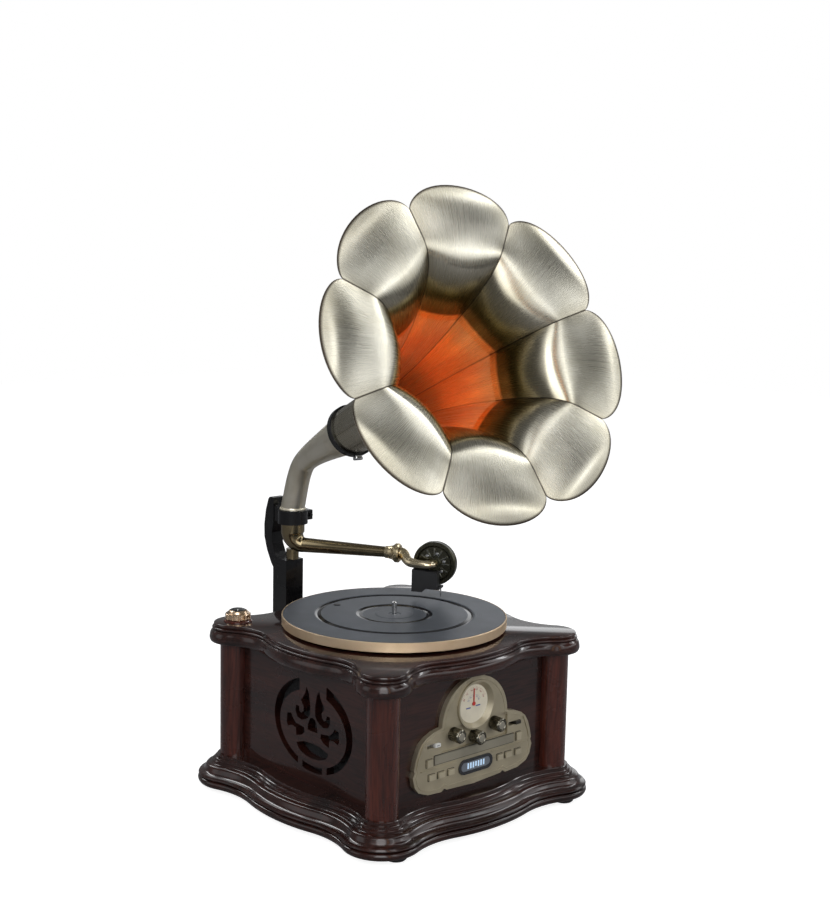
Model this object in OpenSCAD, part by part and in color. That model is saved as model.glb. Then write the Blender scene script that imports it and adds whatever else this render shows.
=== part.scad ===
// Record player with a horn: a moulded wooden case on four feet, a belt-driven platter,
// a radio and disc player in the front, and a tonearm and an eight-petal horn that turn
// in one collar behind the case. Millimetres, +Z up, +Y to the rear.
// The origin is on the floor, under the axis of the platter.

/* [Case] */
// Distance between the axes of the corner columns, and across the faces of the side panels
case_w = 300; // [296:1:330]
// Thickness of the side panels
panel_t = 12; // [9:0.5:13]
// Height of the side panels and columns
panel_h = 155; // [152:1:180]
// Radius of a corner column
column_r = 20.6; // [18:0.2:22]
// Height of a foot
foot_h = 7; // [5:0.5:15]
// Radius of a foot
foot_r = 13.5; // [8:0.5:16]
// Distance from the case centre to the front and rear rows of feet
foot_y = 177; // [165:1:185]

/* [Plinth moulding] */
// Height of the plinth
plinth_h = 39; // [36:1:50]
// Radius of the plinth's round corner at its widest
plinth_lobe_r = 50.5; // [48:0.5:54]
// Hollow of the plinth's outline: inward from the column's centre, and out from it
plinth_nook = [58, 40];
// Reach of the bow in the middle of each plinth side, out from the columns' centres
plinth_bow = 51.5; // [49:0.5:56]

/* [Top board moulding] */
// Thickness of the top board
board_t = 27; // [25:0.5:32]
// Radius of the board's round corner at its widest
board_lobe_r = 35; // [32:0.5:38]
// Hollow of the board's outline: inward from the column's centre, and out from it
board_nook = [62, 13.5];
// Reach of the bow in the middle of each board side, out from the columns' centres
board_bow = 29; // [26:0.5:33]

/* [Platter] */
// Radius of the platter
platter_r = 149.6; // [140:0.2:152]
// Height of the platter from the lower edge of its rim to its lip
platter_h = 13.2; // [12:0.2:18]
// Gap between the deck and the platter's rim
platter_gap = 3.8; // [2:0.2:8]
// Thickness of the platter's top plate
platter_t = 4; // [3:0.5:5]
// Thickness of the rubber mat at its rim
mat_t = 3; // [2.4:0.2:4]
// Radius of the spindle's bearing shaft
shaft_r = 4; // [3.8:0.1:6]
// Radius of the spindle's free end, for the hole of a record
spindle_r = 3.55; // [3.4:0.05:3.6]
// Height of the spindle's free end over the mat
spindle_h = 16; // [10:1:24]
// Radius of the hub under the platter that the belt runs on
hub_r = 64; // [55:1:70]
// Distance from the platter's axis to the motor's
motor_reach = 110; // [100:1:120]
// Radius of the motor's pulley
pulley_r = 6; // [5:0.5:9]
// Radius of the motor
motor_r = 18; // [14:0.5:22]
// Length of the motor
motor_h = 24; // [18:1:34]
// Thickness of the drive belt
belt_t = 1; // [0.6:0.1:1.6]
// Width of the drive belt
belt_w = 4; // [3:0.2:4.6]

/* [Speed knob] */
// Radius of the knob's base ring
speed_base_r = 19.5; // [18:0.5:22]
// Radius of the knob's scalloped band
speed_knob_r = 17; // [14:0.5:18]
// Height of the knob over its base ring
speed_knob_h = 12; // [9:0.5:18]

/* [Front controls] */
// Thickness of the pressed control plate
fascia_t = 7; // [6.4:0.2:9]
// Radius of the arch over the dial
arch_r = 58; // [54:0.5:62]
// Height of the arch's centre over the floor
arch_z = 137; // [134:0.5:142]
// Height of the dial's centre over the floor
dial_z = 158; // [156:0.5:162]
// Radius of the dial that shows in its bezel
dial_r = 25; // [20:0.5:26]
// Outer radius of the dial's bezel
bezel_r = 32; // [29:0.5:34]
// Height of the bezel over the control plate
bezel_h = 2.5; // [1:0.5:4]
// Distance between the turning knobs
knob_pitch = 36; // [30:0.5:40]
// Height of the outer knobs over the floor
knob_z = 126; // [123:0.5:128]
// Drop of the middle knob
knob_drop = 9.5; // [7:0.5:10]
// Radius of a turning knob
knob_r = 9; // [7:0.5:9]
// Length of a turning knob
knob_l = 16; // [10:0.5:22]
// Radius of a knob's shaft
knob_shaft_r = 3; // [2:0.25:4]
// Travel of a push key
key_travel = 2; // [1:0.25:2.25]
// Travel of a slide switch
switch_travel = 10; // [6:0.5:11]
// Size of the display ring: width and height
display_ring = [60, 20];
// Width of the disc tray's front
tray_w = 141; // [138:1:146]
// Height of the disc tray's front
tray_h = 11; // [9:0.5:12]
// Height of the tray's centre over the floor
tray_z = 99.5; // [98:0.5:101]
// Length of the disc tray behind its front
tray_l = 160; // [155:1:170]

/* [Side fretwork] */
// Distance from the case centre to the fretwork's centre, towards the front
fret_shift = 15; // [0:1:30]
// Height of the fretwork's centre over the floor
fret_z = 124; // [115:1:130]
// Half width and half height of the broken ring
fret_ring = [78.5, 61];
// Thickness of the cloth behind the fretwork
cloth_t = 1; // [0.6:0.1:2]
// Radius of a speaker's frame
speaker_r = 52; // [45:1:60]
// Depth of a speaker's basket
speaker_h = 26; // [18:1:34]

/* [Bracket and collar] */
// Distance from the platter's axis back to the axis of the tonearm and horn
pivot_y = 220; // [214:1:230]
// Side of the bracket's square post
post_w = 30.6; // [26:0.2:34]
// Distance that the post's centre stands behind the pivot axis
post_back = 10; // [8:0.5:14]
// Height of the post over the deck
post_over_deck = 52.5; // [50:0.5:60]
// Width of the curved arm behind the post
back_arm_w = 20; // [16:0.5:24]
// Height of the collar's lower edge over the deck
collar_over_deck = 105; // [100:1:112]
// Height of the collar
collar_h = 20; // [14:1:24]
// Wall of the collar
collar_t = 4.5; // [3:0.5:6]

/* [Tonearm] */
// Radius of the upright pipe of the tonearm and of the horn's neck
pipe_r = 17; // [15:0.5:19]
// Height of the arm tube's centre over the platter's mat
arm_z = 57.5; // [54:0.5:62]
// Radius of the arm tube where it leaves the elbow
arm_root_r = 10.5; // [8:0.25:12]
// Radius of the arm tube at its far end
arm_tip_r = 7.5; // [6:0.25:9]
// Swell of a petal's middle beyond its seams
petal_swell = 8; // [6:0.5:10]
// Distance from the far end of the arm tube to the needle's tip
pickup_l = 81; // [76:1:90]
// Direction of the arm at rest, turned from straight forward
arm_turn = 29.9; // [20:0.1:38]
// Distance from the pivot axis to the needle's tip
needle_l = 222; // [215:0.5:228]
// Radius of the soundbox
soundbox_r = 30.5; // [24:0.5:33]
// Thickness of the soundbox
soundbox_t = 12; // [8:0.5:16]
// Height of the soundbox's centre over the mat
soundbox_z = 47.8; // [44:0.2:52]

/* [Horn] */
// Direction that the horn faces at rest, turned from straight forward
horn_turn = -8.8; // [-40:0.1:40]
// Tilt of the horn's axis over the level
horn_tilt = 24.5; // [15:0.5:35]
// Distance from the pivot axis to the neck's far end
neck_reach = 162.5; // [150:0.5:170]
// Height of the neck's far end over the mat
neck_rise = 241.5; // [230:0.5:255]
// Radius of the neck's far end
neck_tip_r = 31; // [27:0.5:34]
// Distance along the horn's axis from the neck to the notches between the petals
horn_l = 300; // [270:1:330]
// Radius of the mouth at the notches between the petals
notch_r = 185; // [165:1:195]
// Radius of the mouth at the tips of the petals
tip_r = 211; // [200:1:222]
// Thickness of the horn's sheet
sheet_t = 1.4; // [1:0.1:2.5]

/* [Hidden] */
PETALS = 8;
KEYS = 8;
$fn = 96;

// Clearances: a round running fit, a gap between pieces that slide or swing past each
// other, and a small lap that lets two shapes of one piece fuse
fit = 0.05;
gap = 0.35;
lap = 0.5;

// Heights of the case over the floor
half = case_w / 2;
plinth_top = foot_h + plinth_h;
panel_top = plinth_top + panel_h;
deck_z = panel_top + board_t;
rim_z = deck_z + platter_gap;
mat_z = rim_z + platter_h;
face_y = -half - fascia_t;
inner = half - panel_t;

// Counts of what repeats
FLUTES = 12;

// Places on the front: the window behind the control plate, the pocket of the turning
// knobs, the dial's seat, the knobs, the slots of the slide switches and the display
window_w = 176;
window_low = 62;
window_high = knob_z;
pocket_deep = 3;
pocket_low = knob_z - knob_drop - knob_r - 1;
pocket_high = knob_z + knob_r + 1.5;
dial_deep = 3;
knob_places = [[-knob_pitch, knob_z], [0, knob_z - knob_drop], [knob_pitch, knob_z]];
knob_tail = 11;
slot_x = 72;
slot_w = switch_travel + 12;
slot_h = 5;
lever_w = 9;
switch_z = 119;
display_at = [2, 79];

// Boards behind the control plate, and the bosses that carry them
board_y = -half + 4;
boss_r = 3;
boss_places = [[-28, 69], [28, 69], [-68, 70], [68, 70], [-44, 113], [44, 113], [-44, 147],
    [44, 147]];

// Disc tray
bed_w = tray_w - 9;
bed_z = tray_z - 4;
bed_t = 5;
disc_y = face_y + 3 + 6 + 61;

// Cloth behind the fretwork, and the socket plate in the rear panel
cloth_w = 2 * fret_ring.x + 16;
cloth_h = 2 * fret_ring.y + 14;
socket_x = half - 64;
socket_z = 78;
socket_w = 56;
socket_h = 24;
socket_deep = 7;

// Speed knob, motor, pulley and belt
speed_xy = half - 2;
motor_turn = 225;
motor_at = [motor_reach * cos(motor_turn), motor_reach * sin(motor_turn), 0];
motor_deep = 12;
pulley_low = deck_z + 3.2;
pulley_top = mat_z - mat_t - platter_t - 0.6;
belt_z = pulley_low + (pulley_top - pulley_low - belt_w) / 2;

// Bracket, collar, tonearm and neck
post_top = deck_z + post_over_deck;
beam_z = panel_top - 34;
collar_z = deck_z + collar_over_deck;
split_z = collar_z + collar_h / 2;
pin_r = 5;
elbow_r = 18;
tube_z = mat_z + arm_z;
ferrule_r = 13.5;
ferrule_l = 21;
neck_r = 6;
box_l = needle_l - 8.7;
arm_l = needle_l - pickup_l;
neck_z = collar_z + collar_h + 4;
neck_waist_r = 16;
petal_start = 83;
tip_share = 1.266;
tip_push = tip_r - mix(neck_tip_r, notch_r, tip_share) * cos(180 / PETALS);

// Colours
wood = [0.20, 0.07, 0.05];
wood_red = [0.33, 0.11, 0.07];
brass = [0.72, 0.60, 0.38];
champagne = [0.66, 0.60, 0.46];
nickel = [0.72, 0.70, 0.64];
copper = [0.83, 0.42, 0.20];
black = [0.07, 0.07, 0.08];
rubber = [0.42, 0.45, 0.50];

function unit(v) = v / norm(v);
function mix(a, b, t) = a + (b - a) * t;

// Points of an ellipse's arc
function oval(a, b, from = 0, to = 360, n = 48) =
    [for (i = [0:n]) let (q = mix(from, to, i / n)) [a * cos(q), b * sin(q)]];

// Point of a cubic Bezier curve
function bezier(p, t) =
    p[0] * pow(1 - t, 3) + 3 * p[1] * t * pow(1 - t, 2)
    + 3 * p[2] * t * t * (1 - t) + p[3] * pow(t, 3);

// One ring of points round a path: centre, direction, side direction and radius
function ring(centre, along, side, r, n = 24) =
    let (u = unit(cross(along, side)), s = unit(side))
    [for (i = [0:n - 1]) let (q = 360 * i / n) centre + r * cos(q) * s + r * sin(q) * u];

// Closed skin over rings of points that all have the same count
module loft(rings) {
    n = len(rings[0]);
    m = len(rings);
    sides = [for (k = [0:m - 2], i = [0:n - 1]) let (j = (i + 1) % n)
        each [[k * n + i, (k + 1) * n + j, k * n + j],
              [k * n + i, (k + 1) * n + i, (k + 1) * n + j]]];
    ends = [[for (i = [0:n - 1]) i], [for (i = [n - 1:-1:0]) (m - 1) * n + i]];
    polyhedron([for (r = rings) each r], concat(sides, ends));
}

// Rectangle with round corners
module round_rect(w, h, r) {
    square([w - 2 * r, h], center = true);
    square([w, h - 2 * r], center = true);
    for (x = [-1, 1], y = [-1, 1])
        translate([x * (w / 2 - r), y * (h / 2 - r)]) circle(r, $fn = 32);
}

// Strip with fully round ends
module stadium(w, h) {
    square([w - h, h], center = true);
    for (x = [-1, 1]) translate([x * (w - h) / 2, 0]) circle(d = h, $fn = 48);
}

// Draws a front-plane shape, given in X and Z, from one depth to another along Y
module facing(y0, y1) {
    translate([0, y1, 0]) rotate([90, 0, 0]) linear_extrude(y1 - y0) children();
}

// Ring of revolution whose profile points are pairs of radius and height
module turned(profile, angle = 360) {
    rotate_extrude(angle = angle) polygon(profile);
}

// Moulded boards. Each side of the outline is a bow between two hollows, and each corner is
// a round lobe about its column. All arcs meet tangent, and the profile's steps are offsets
// of the outline, so every step keeps the same arc centres.
BOW_STEPS = 5;
HOLLOW_STEPS = 4;
LOBE_STEPS = 9;

// Radii of the hollow and the bow that join a lobe to the middle of a side
function arc_radii(lobe_r, nook, bow) =
    let (x = half - nook.x, g = bow - nook.y, sum = (x * x + g * g) / (2 * g),
         hollow = (nook * nook - lobe_r * lobe_r) / (2 * (lobe_r - nook.y)))
    [hollow, sum - hollow];

// Points of an arc without its last one
function arc(centre, r, from, to, n) =
    [for (i = [0:n - 1]) let (q = mix(from, to, i / n)) centre + r * [cos(q), sin(q)]];

function turn(p, q) = [p.x * cos(q) - p.y * sin(q), p.x * sin(q) + p.y * cos(q)];

// One front side and the lobe at its right end, moved out by an offset
function moulded_side(lobe_r, nook, bow, off) =
    let (radii = arc_radii(lobe_r, nook, bow),
         hollow_c = [half - nook.x, -half - nook.y - radii[0]],
         bow_c = [0, radii[1] - half - bow],
         to_lobe = atan2(-half - hollow_c.y, half - hollow_c.x),
         to_bow = atan2(bow_c.y - hollow_c.y, bow_c.x - hollow_c.x),
         hollow_r = radii[0] - off)
    concat([for (p = arc(hollow_c, hollow_r, to_lobe, to_bow, HOLLOW_STEPS)) [-p.x, p.y]],
        arc(bow_c, radii[1] + off, -to_bow, to_bow - 180, BOW_STEPS),
        arc(hollow_c, hollow_r, to_bow, to_lobe, HOLLOW_STEPS),
        arc([half, -half], lobe_r + off, to_lobe - 180, 90 - to_lobe, LOBE_STEPS));

// profile: pairs of offset from the widest outline and height, from bottom to top
module moulded_board(lobe_r, nook, bow, profile) {
    loft([for (p = profile) [for (q = [0:90:270], v = moulded_side(lobe_r, nook, bow, p.x))
        concat(turn(v, q), [p.y])]]);
}

// Case

// Four turned pads under the plinth
module feet() {
    color(black) for (x = [-half, half], y = [-foot_y, foot_y])
        translate([x, y, 0]) turned([[0, 0], [foot_r - 1.5, 0], [foot_r, 1.5],
            [foot_r, foot_h - 1], [foot_r - 1, foot_h], [0, foot_h]]);
}

// Serpentine base: a rounded band, a bead in a groove, an ogee, and two steps to the flat top
module plinth() {
    b = foot_h;
    t = plinth_top;
    color(wood) moulded_board(plinth_lobe_r, plinth_nook, plinth_bow,
        [[-5.5, b], [-2, b + 1.2], [0, b + 5], [-0.8, b + 8.6], [-3.8, b + 10.4],
         [-1.6, b + 11.6], [-0.7, b + 13.2], [-2.2, b + 15.3], [-5, b + 16.2],
         [-8.6, b + 18.6], [-10.4, b + 22.2], [-11.4, b + 24.4], [-13.8, b + 26.4],
         [-18.4, b + 27.4], [-19, t - 8], [-22.4, t - 7.8], [-22.6, t - 4.4],
         [-26, t - 4.2], [-26, t - 0.6], [-26.6, t]]);
}

// Turned posts at the four corners
module corner_columns() {
    color(wood_red) for (x = [-half, half], y = [-half, half])
        translate([x, y, plinth_top]) cylinder(r = column_r, h = panel_h);
}

// A plain panel at the front, scooped at both ends to sit against the columns
module panel_blank() {
    difference() {
        translate([-half, -half, plinth_top]) cube([case_w, panel_t, panel_h]);
        for (x = [-half, half]) translate([x, -half, plinth_top - lap])
            cylinder(r = column_r + fit, h = panel_h + 2 * lap);
    }
}

// Front panel with the window for the controls behind their plate
module front_panel() {
    color(wood) difference() {
        panel_blank();
        facing(-half - lap, -inner + lap) {
            translate([-window_w / 2, window_low]) square([window_w, window_high - window_low]);
            translate([0, arch_z]) circle(r = arch_r - 6);
        }
    }
}

// Half of the fretwork's pattern: one side of a broken ring and the leaves inside it
module fret_half() {
    difference() {
        polygon(oval(fret_ring.x, fret_ring.y, -90, 90, 40));
        translate([0, -3.5])
            polygon(oval(fret_ring.x - 11.5, fret_ring.y - 12, 0, 360, 56));
        translate([-1, -5]) square([28, fret_ring.y + 10]);
        translate([20, -fret_ring.y - 5]) square([9, fret_ring.y]);
    }
    polygon([[13, 49], [8, 42], [5, 27], [5, 15], [9, 9], [14, 6], [22, 3], [31, 5], [35, 12],
        [34, 20], [28, 20], [27, 14], [23, 12], [19, 15], [18, 21], [24, 29], [18, 36], [15, 41]]);
    polygon([[17, -6], [34, -4], [41, 2], [44, 7], [52, 5], [53, -8], [50, -12], [43, -9],
        [34, -10], [33, -20], [22, -17], [16, -12]]);
    polygon([[-0.01, 11], [5, 9], [9, 1], [10, -7], [-0.01, -7]]);
    polygon(concat([[-0.01, -23], [16, -24], [32, -29]],
        [for (p = oval(31, 13, -8, -90, 8)) p - [0, 30]]));
}

// Side panel pierced by the fretwork; the right one is drawn and the left one mirrors it
module side_panel() {
    difference() {
        rotate([0, 0, 90]) panel_blank();
        rotate([0, 0, 90]) translate([-fret_shift, 0, fret_z]) facing(-half - lap, -inner + lap) {
            fret_half();
            mirror([1, 0]) fret_half();
        }
    }
}

module right_panel() { color(wood) side_panel(); }
module left_panel() { color(wood) mirror([1, 0, 0]) side_panel(); }

// Rear panel with a recess for the sockets
module rear_panel() {
    color(wood) difference() {
        rotate([0, 0, 180]) panel_blank();
        translate([socket_x, half - socket_deep, socket_z])
            rotate([90, 0, 0]) translate([0, 0, -socket_deep - lap])
            linear_extrude(socket_deep + lap) round_rect(socket_w + 2 * fit, socket_h + 2 * fit, 3);
    }
}

// Moulded lid board that carries the platter, with a pocket below for the motor
module top_board() {
    b = panel_top;
    t = deck_z;
    color(wood) difference() {
        moulded_board(board_lobe_r, board_nook, board_bow,
            [[-11, b], [-3, b + 1], [-0.8, b + 3.4], [0, b + 6], [-0.4, b + 10.4],
             [-1.6, b + 14.4], [-4.2, b + 17.6], [-5.6, t - 9], [-3.9, t - 8.2],
             [-3.4, t - 7], [-3.9, t - 5.8], [-6.4, t - 4.8], [-5.5, t - 3], [-6, t - 0.8],
             [-7.4, t]]);
        translate([0, 0, b - lap]) cylinder(r = shaft_r, h = board_t + 2 * lap);
        translate(motor_at) {
            translate([0, 0, b - lap]) cylinder(r = motor_r + gap, h = motor_deep + lap);
            translate([0, 0, b]) cylinder(r = pulley_r, h = board_t + lap);
        }
    }
}

// Black cloth on the inner face of each side panel
module grille_cloths() {
    color(black) for (s = [-1, 1])
        translate([s > 0 ? inner - cloth_t : -inner, -fret_shift - cloth_w / 2,
            fret_z - cloth_h / 2]) cube([cloth_t, cloth_w, cloth_h]);
}

// One speaker behind each cloth: frame, basket cone and magnet
module speakers() {
    color([0.25, 0.25, 0.27]) for (s = [0, 1]) mirror([s, 0, 0])
        translate([inner - cloth_t, -fret_shift, fret_z]) rotate([0, -90, 0])
            turned([[0, 9], [14, 9], [speaker_r - 6, 1.5], [speaker_r - 6, 0], [speaker_r, 0],
                [speaker_r, 2.5], [speaker_r - 5, 3.5], [22, speaker_h], [28, speaker_h],
                [28, speaker_h + 10], [0, speaker_h + 10]]);
}

// Front controls

// Outline of the control plate: an arch over a wide body with drawn-in lower corners
module fascia_outline() {
    translate([0, arch_z]) circle(r = arch_r);
    side = [[48, 56.5], [52, 59], [57, 55.5], [80, 57], [96, 63], [102.5, 71], [106, 84],
        [103.2, 90.5], [104.6, 93], [102, 104], [98, 116], [92, 125], [84, 131], [72, 136],
        [56, 139]];
    polygon(concat([[0, 54]], side, [for (i = [len(side) - 1:-1:0]) [-side[i].x, side[i].y]]));
}

// Cap sizes and places of the push keys: centre X, centre Z, width and height
keys = [[-79.5, 98, 9, 9], [79, 100, 8, 10], [-75, 79, 10, 7], [-59, 79, 10, 7],
    [-42, 79, 10, 7], [45.5, 79, 9, 7], [61, 79, 11, 7], [79, 79, 10, 7]];

module control_fascia() {
    back = -half;
    dial_back = back - dial_deep;
    color(champagne) difference() {
        union() {
            facing(face_y, back) fascia_outline();
            facing(face_y - 1.2, face_y + lap) fascia_ribs();
            facing(face_y - bezel_h, face_y + lap) translate([0, dial_z]) circle(r = bezel_r);
            for (p = boss_places) facing(back - lap, board_y) translate(p) circle(r = boss_r);
        }
        translate([0, face_y - bezel_h - 0.01, dial_z]) rotate([-90, 0, 0])
            cylinder(r1 = bezel_r - 2, r2 = dial_r, h = dial_back - face_y + bezel_h + 0.02);
        facing(dial_back, back + lap) translate([0, dial_z]) circle(r = dial_r + 3 + fit);
        facing(face_y - lap, face_y + pocket_deep) difference() {
            translate([0, (pocket_low + pocket_high) / 2])
                round_rect(2 * (knob_pitch + knob_r) + 28, pocket_high - pocket_low, 3);
            translate([0, dial_z]) circle(r = bezel_r);
        }
        for (p = knob_places) facing(face_y, back + lap) translate(p)
            circle(r = knob_shaft_r + fit);
        facing(face_y - 2, back + lap) {
            translate([-tray_w / 2 - gap, tray_z - tray_h / 2 - gap])
                square([tray_w + 2 * gap, tray_h + 2 * gap]);
            for (k = keys) translate([k.x - k[2] / 2 - gap, k.y - k[3] / 2 - gap])
                square([k[2] + 2 * gap, k[3] + 2 * gap]);
            for (s = [-1, 1]) translate([s * slot_x, switch_z])
                square([slot_w, slot_h], center = true);
        }
    }
}

// Raised lines of the control plate: one under the tray, one round the lower corners
module fascia_ribs() {
    for (s = [-1, 1]) {
        translate([s * 62, 89.4]) square([62, 1.6], center = true);
        polygon([[s * 88, 124], [s * 90, 124], [s * 99, 104], [s * 100.5, 95], [s * 98.5, 95],
            [s * 97, 103.6]]);
    }
}

// Printed dial behind the bezel, with a hole for the pointer's spindle
module dial_face() {
    color([0.87, 0.84, 0.74]) translate([0, -half - dial_deep, dial_z]) rotate([-90, 0, 0])
        difference() {
            cylinder(r = dial_r + 3, h = 1.5);
            translate([0, 0, -lap]) cylinder(r = 1 + fit, h = 2 + lap);
        }
}

// Pointer on its spindle
module dial_pointer() {
    color([0.6, 0.1, 0.08]) translate([0, -half - dial_deep, dial_z]) {
        rotate([-90, 0, 0]) translate([0, 0, -1.2]) cylinder(r = 1, h = 3.7);
        facing(-1.2, -gap) {
            circle(r = 2.6);
            translate([-0.6, 0]) square([1.2, dial_r - 5]);
        }
    }
}

// Fluted knob with a turned face and its shaft
module turning_knob(place) {
    color([0.35, 0.33, 0.30])
        translate([place.x, face_y + pocket_deep - gap, place.y]) rotate([90, 0, 0]) {
            difference() {
                turned([[0, 0], [knob_r, 0], [knob_r, knob_l - 1.5], [knob_r - 1.5, knob_l],
                    [knob_r - 3, knob_l], [knob_r - 3.6, knob_l - 0.8], [0, knob_l - 0.8]]);
                for (i = [0:FLUTES - 1]) rotate([0, 0, 360 * i / FLUTES])
                    translate([knob_r + 0.5, 0, 2]) cylinder(r = 1.4, h = knob_l, $fn = 24);
            }
            translate([0, 0, -knob_tail]) cylinder(r = knob_shaft_r, h = knob_tail + lap);
        }
}

module volume_knob() { turning_knob(knob_places[0]); }
module function_knob() { turning_knob(knob_places[1]); }
module tuning_knob() { turning_knob(knob_places[2]); }

// Slide switch: a lever through its slot on a plate that runs behind the control plate
module slide_switch(x) {
    color([0.85, 0.84, 0.80]) {
        facing(face_y - 3, -half + gap + lap) translate([x, switch_z])
            square([lever_w, slot_h - 2 * gap], center = true);
        facing(-half + gap, -half + gap + 1.2) translate([x, switch_z])
            square([lever_w + 8, slot_h + 4], center = true);
    }
}

module band_switch() { slide_switch(-slot_x + switch_travel / 2); }
module mode_switch() { slide_switch(slot_x + switch_travel / 2); }

// Push key: cap through the plate and a flange behind it
module push_key(k) {
    color([0.80, 0.76, 0.66]) {
        facing(face_y - key_travel - 1, -half + gap + lap) translate([k.x, k.y])
            square([k[2], k[3]], center = true);
        facing(-half + gap, -half + gap + 1) translate([k.x, k.y])
            square([k[2] + 2, k[3] + 2], center = true);
    }
}

// Black ring and tinted window of the display
module display_bezel() {
    color(black) facing(face_y - 1.5, face_y) translate(display_at) difference() {
        stadium(display_ring.x, display_ring.y);
        stadium(display_ring.x - 8, display_ring.y - 8);
    }
}

module display_window() {
    color([0.55, 0.65, 0.75]) facing(face_y - 0.6, face_y) translate(display_at)
        stadium(display_ring.x - 8 - 2 * fit, display_ring.y - 8 - 2 * fit);
}

// Tray for one disc, with its front in the control plate
module disc_tray() {
    color([0.62, 0.58, 0.47]) difference() {
        union() {
            facing(face_y - 1, face_y + 3) translate([0, tray_z])
                round_rect(tray_w, tray_h, 0.8);
            translate([-bed_w / 2, face_y + 3 - lap, bed_z]) cube([bed_w, tray_l + lap, bed_t]);
        }
        translate([0, disc_y, bed_z + bed_t - 1.6]) cylinder(r = 61, h = 5);
        translate([0, disc_y, bed_z - lap]) cylinder(r = 17, h = bed_t + 2 * lap);
    }
}

// Drive case that the tray runs in, with two ears against the front panel
module disc_drive() {
    drive_w = bed_w + 18;
    low = bed_z - 8;
    high = bed_z + bed_t + 12;
    color([0.5, 0.5, 0.52]) difference() {
        union() {
            translate([-drive_w / 2, -inner, low])
                cube([drive_w, tray_l - fascia_t - panel_t + 16, high - low]);
            translate([-window_w / 2 - 10, -inner, low]) cube([window_w + 20, 2, high - low]);
        }
        translate([-bed_w / 2 - gap, -inner - lap, bed_z - gap])
            cube([bed_w + 2 * gap, tray_l - fascia_t - panel_t + 11, bed_t + 6]);
    }
}

// Two printed boards on the bosses of the control plate
module circuit_boards() {
    color([0.10, 0.35, 0.20]) difference() {
        facing(board_y, board_y + 1.6) {
            translate([-84, 65]) square([168, 21]);
            translate([-48, 109]) square([96, 42]);
        }
        for (p = knob_places) facing(board_y - lap, board_y + 2 + lap)
            translate(p) circle(r = knob_shaft_r + gap);
    }
}

// Transformer on the floor of the case: laminated core and winding
module transformer() {
    color([0.45, 0.42, 0.40]) translate([-58, 62, plinth_top]) {
        difference() {
            cube([56, 24, 46]);
            for (x = [9, 33]) translate([x, -lap, 9]) cube([14, 24 + 2 * lap, 28]);
        }
        translate([9, -7, 9]) difference() {
            cube([38, 38, 28]);
            translate([14, 7, -lap]) cube([10, 24, 28 + 2 * lap]);
        }
    }
}

// Plate in the rear panel with the mains inlet and two line sockets
module rear_terminals() {
    color(black) translate([socket_x, half, socket_z]) rotate([90, 0, 0]) {
        difference() {
            translate([0, 0, -1.5]) linear_extrude(socket_deep + 1.5)
                round_rect(socket_w, socket_h, 3);
            translate([-16, 0, -1.5 - lap]) linear_extrude(5 + lap) stadium(17, 9);
        }
        for (x = [3, 17]) translate([x, 0, -7]) difference() {
            cylinder(r = 4, h = 7);
            translate([0, 0, -lap]) cylinder(r = 1.6, h = 5 + lap);
        }
    }
}

// Speed knob on the corner of the deck
module speed_knob_base() {
    color(wood) translate([-speed_xy, speed_xy, deck_z]) difference() {
        turned([[0, 0], [speed_base_r, 0], [speed_base_r, 1.6], [speed_base_r - 1.2, 3], [0, 3]]);
        translate([0, 0, 0.6]) cylinder(r = 4 + fit, h = 3);
    }
}

module speed_knob() {
    color(brass) translate([-speed_xy, speed_xy, deck_z + 3 + gap]) {
        difference() {
            turned([[0, 0], [speed_knob_r - 1, 0], [speed_knob_r, 1], [speed_knob_r, 7],
                [speed_knob_r - 1, 8], [speed_knob_r - 3, 8.4], [speed_knob_r - 4.5, speed_knob_h - 1],
                [speed_knob_r - 6, speed_knob_h], [0, speed_knob_h]]);
            for (i = [0:11]) rotate([0, 0, 30 * i]) translate([speed_knob_r + 0.6, 0, -lap])
                cylinder(r = 1.4, h = 10, $fn = 24);
        }
        translate([0, 0, -2.4]) cylinder(r = 4, h = 2.4 + lap);
    }
}

// Platter and drive

// Cast platter: plate, rim, belt hub and the boss on the bearing shaft
module platter() {
    top = mat_z - mat_t;
    under = top - platter_t;
    color(brass) difference() {
        turned([[0, deck_z + 1.5 + gap], [12, deck_z + 1.5 + gap], [14, under], [hub_r - 4, under],
            [hub_r - 4, rim_z + 0.4], [hub_r, rim_z + 0.4], [hub_r, under],
            [platter_r - 6, under], [platter_r - 6, rim_z], [platter_r - 0.8, rim_z],
            [platter_r, rim_z + 0.8], [platter_r, mat_z - 1], [platter_r - 0.6, mat_z - 0.3],
            [platter_r - 1.5, mat_z - 0.3], [platter_r - 1.5, top], [0, top]]);
        translate([0, 0, deck_z]) cylinder(r = shaft_r + fit, h = 30);
    }
}

// Rubber mat: a flat ring for the record, a glossy groove and a stepped middle
module platter_mat() {
    color(rubber) translate([0, 0, mat_z - mat_t]) difference() {
        turned([[0, 0], [platter_r - 1.7, 0], [platter_r - 1.7, mat_t - 0.8],
            [platter_r - 2.5, mat_t], [107, mat_t], [102.5, mat_t - 1.6], [97, mat_t - 0.3],
            [52, mat_t - 0.3], [47, mat_t - 1.8], [42, mat_t - 1.4], [26, mat_t - 1.4],
            [24, mat_t - 1], [9, mat_t - 1], [8, mat_t - 1.6], [0, mat_t - 1.6]]);
        translate([0, 0, -lap]) cylinder(r = shaft_r + fit, h = mat_t + 2 * lap);
    }
}

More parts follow.
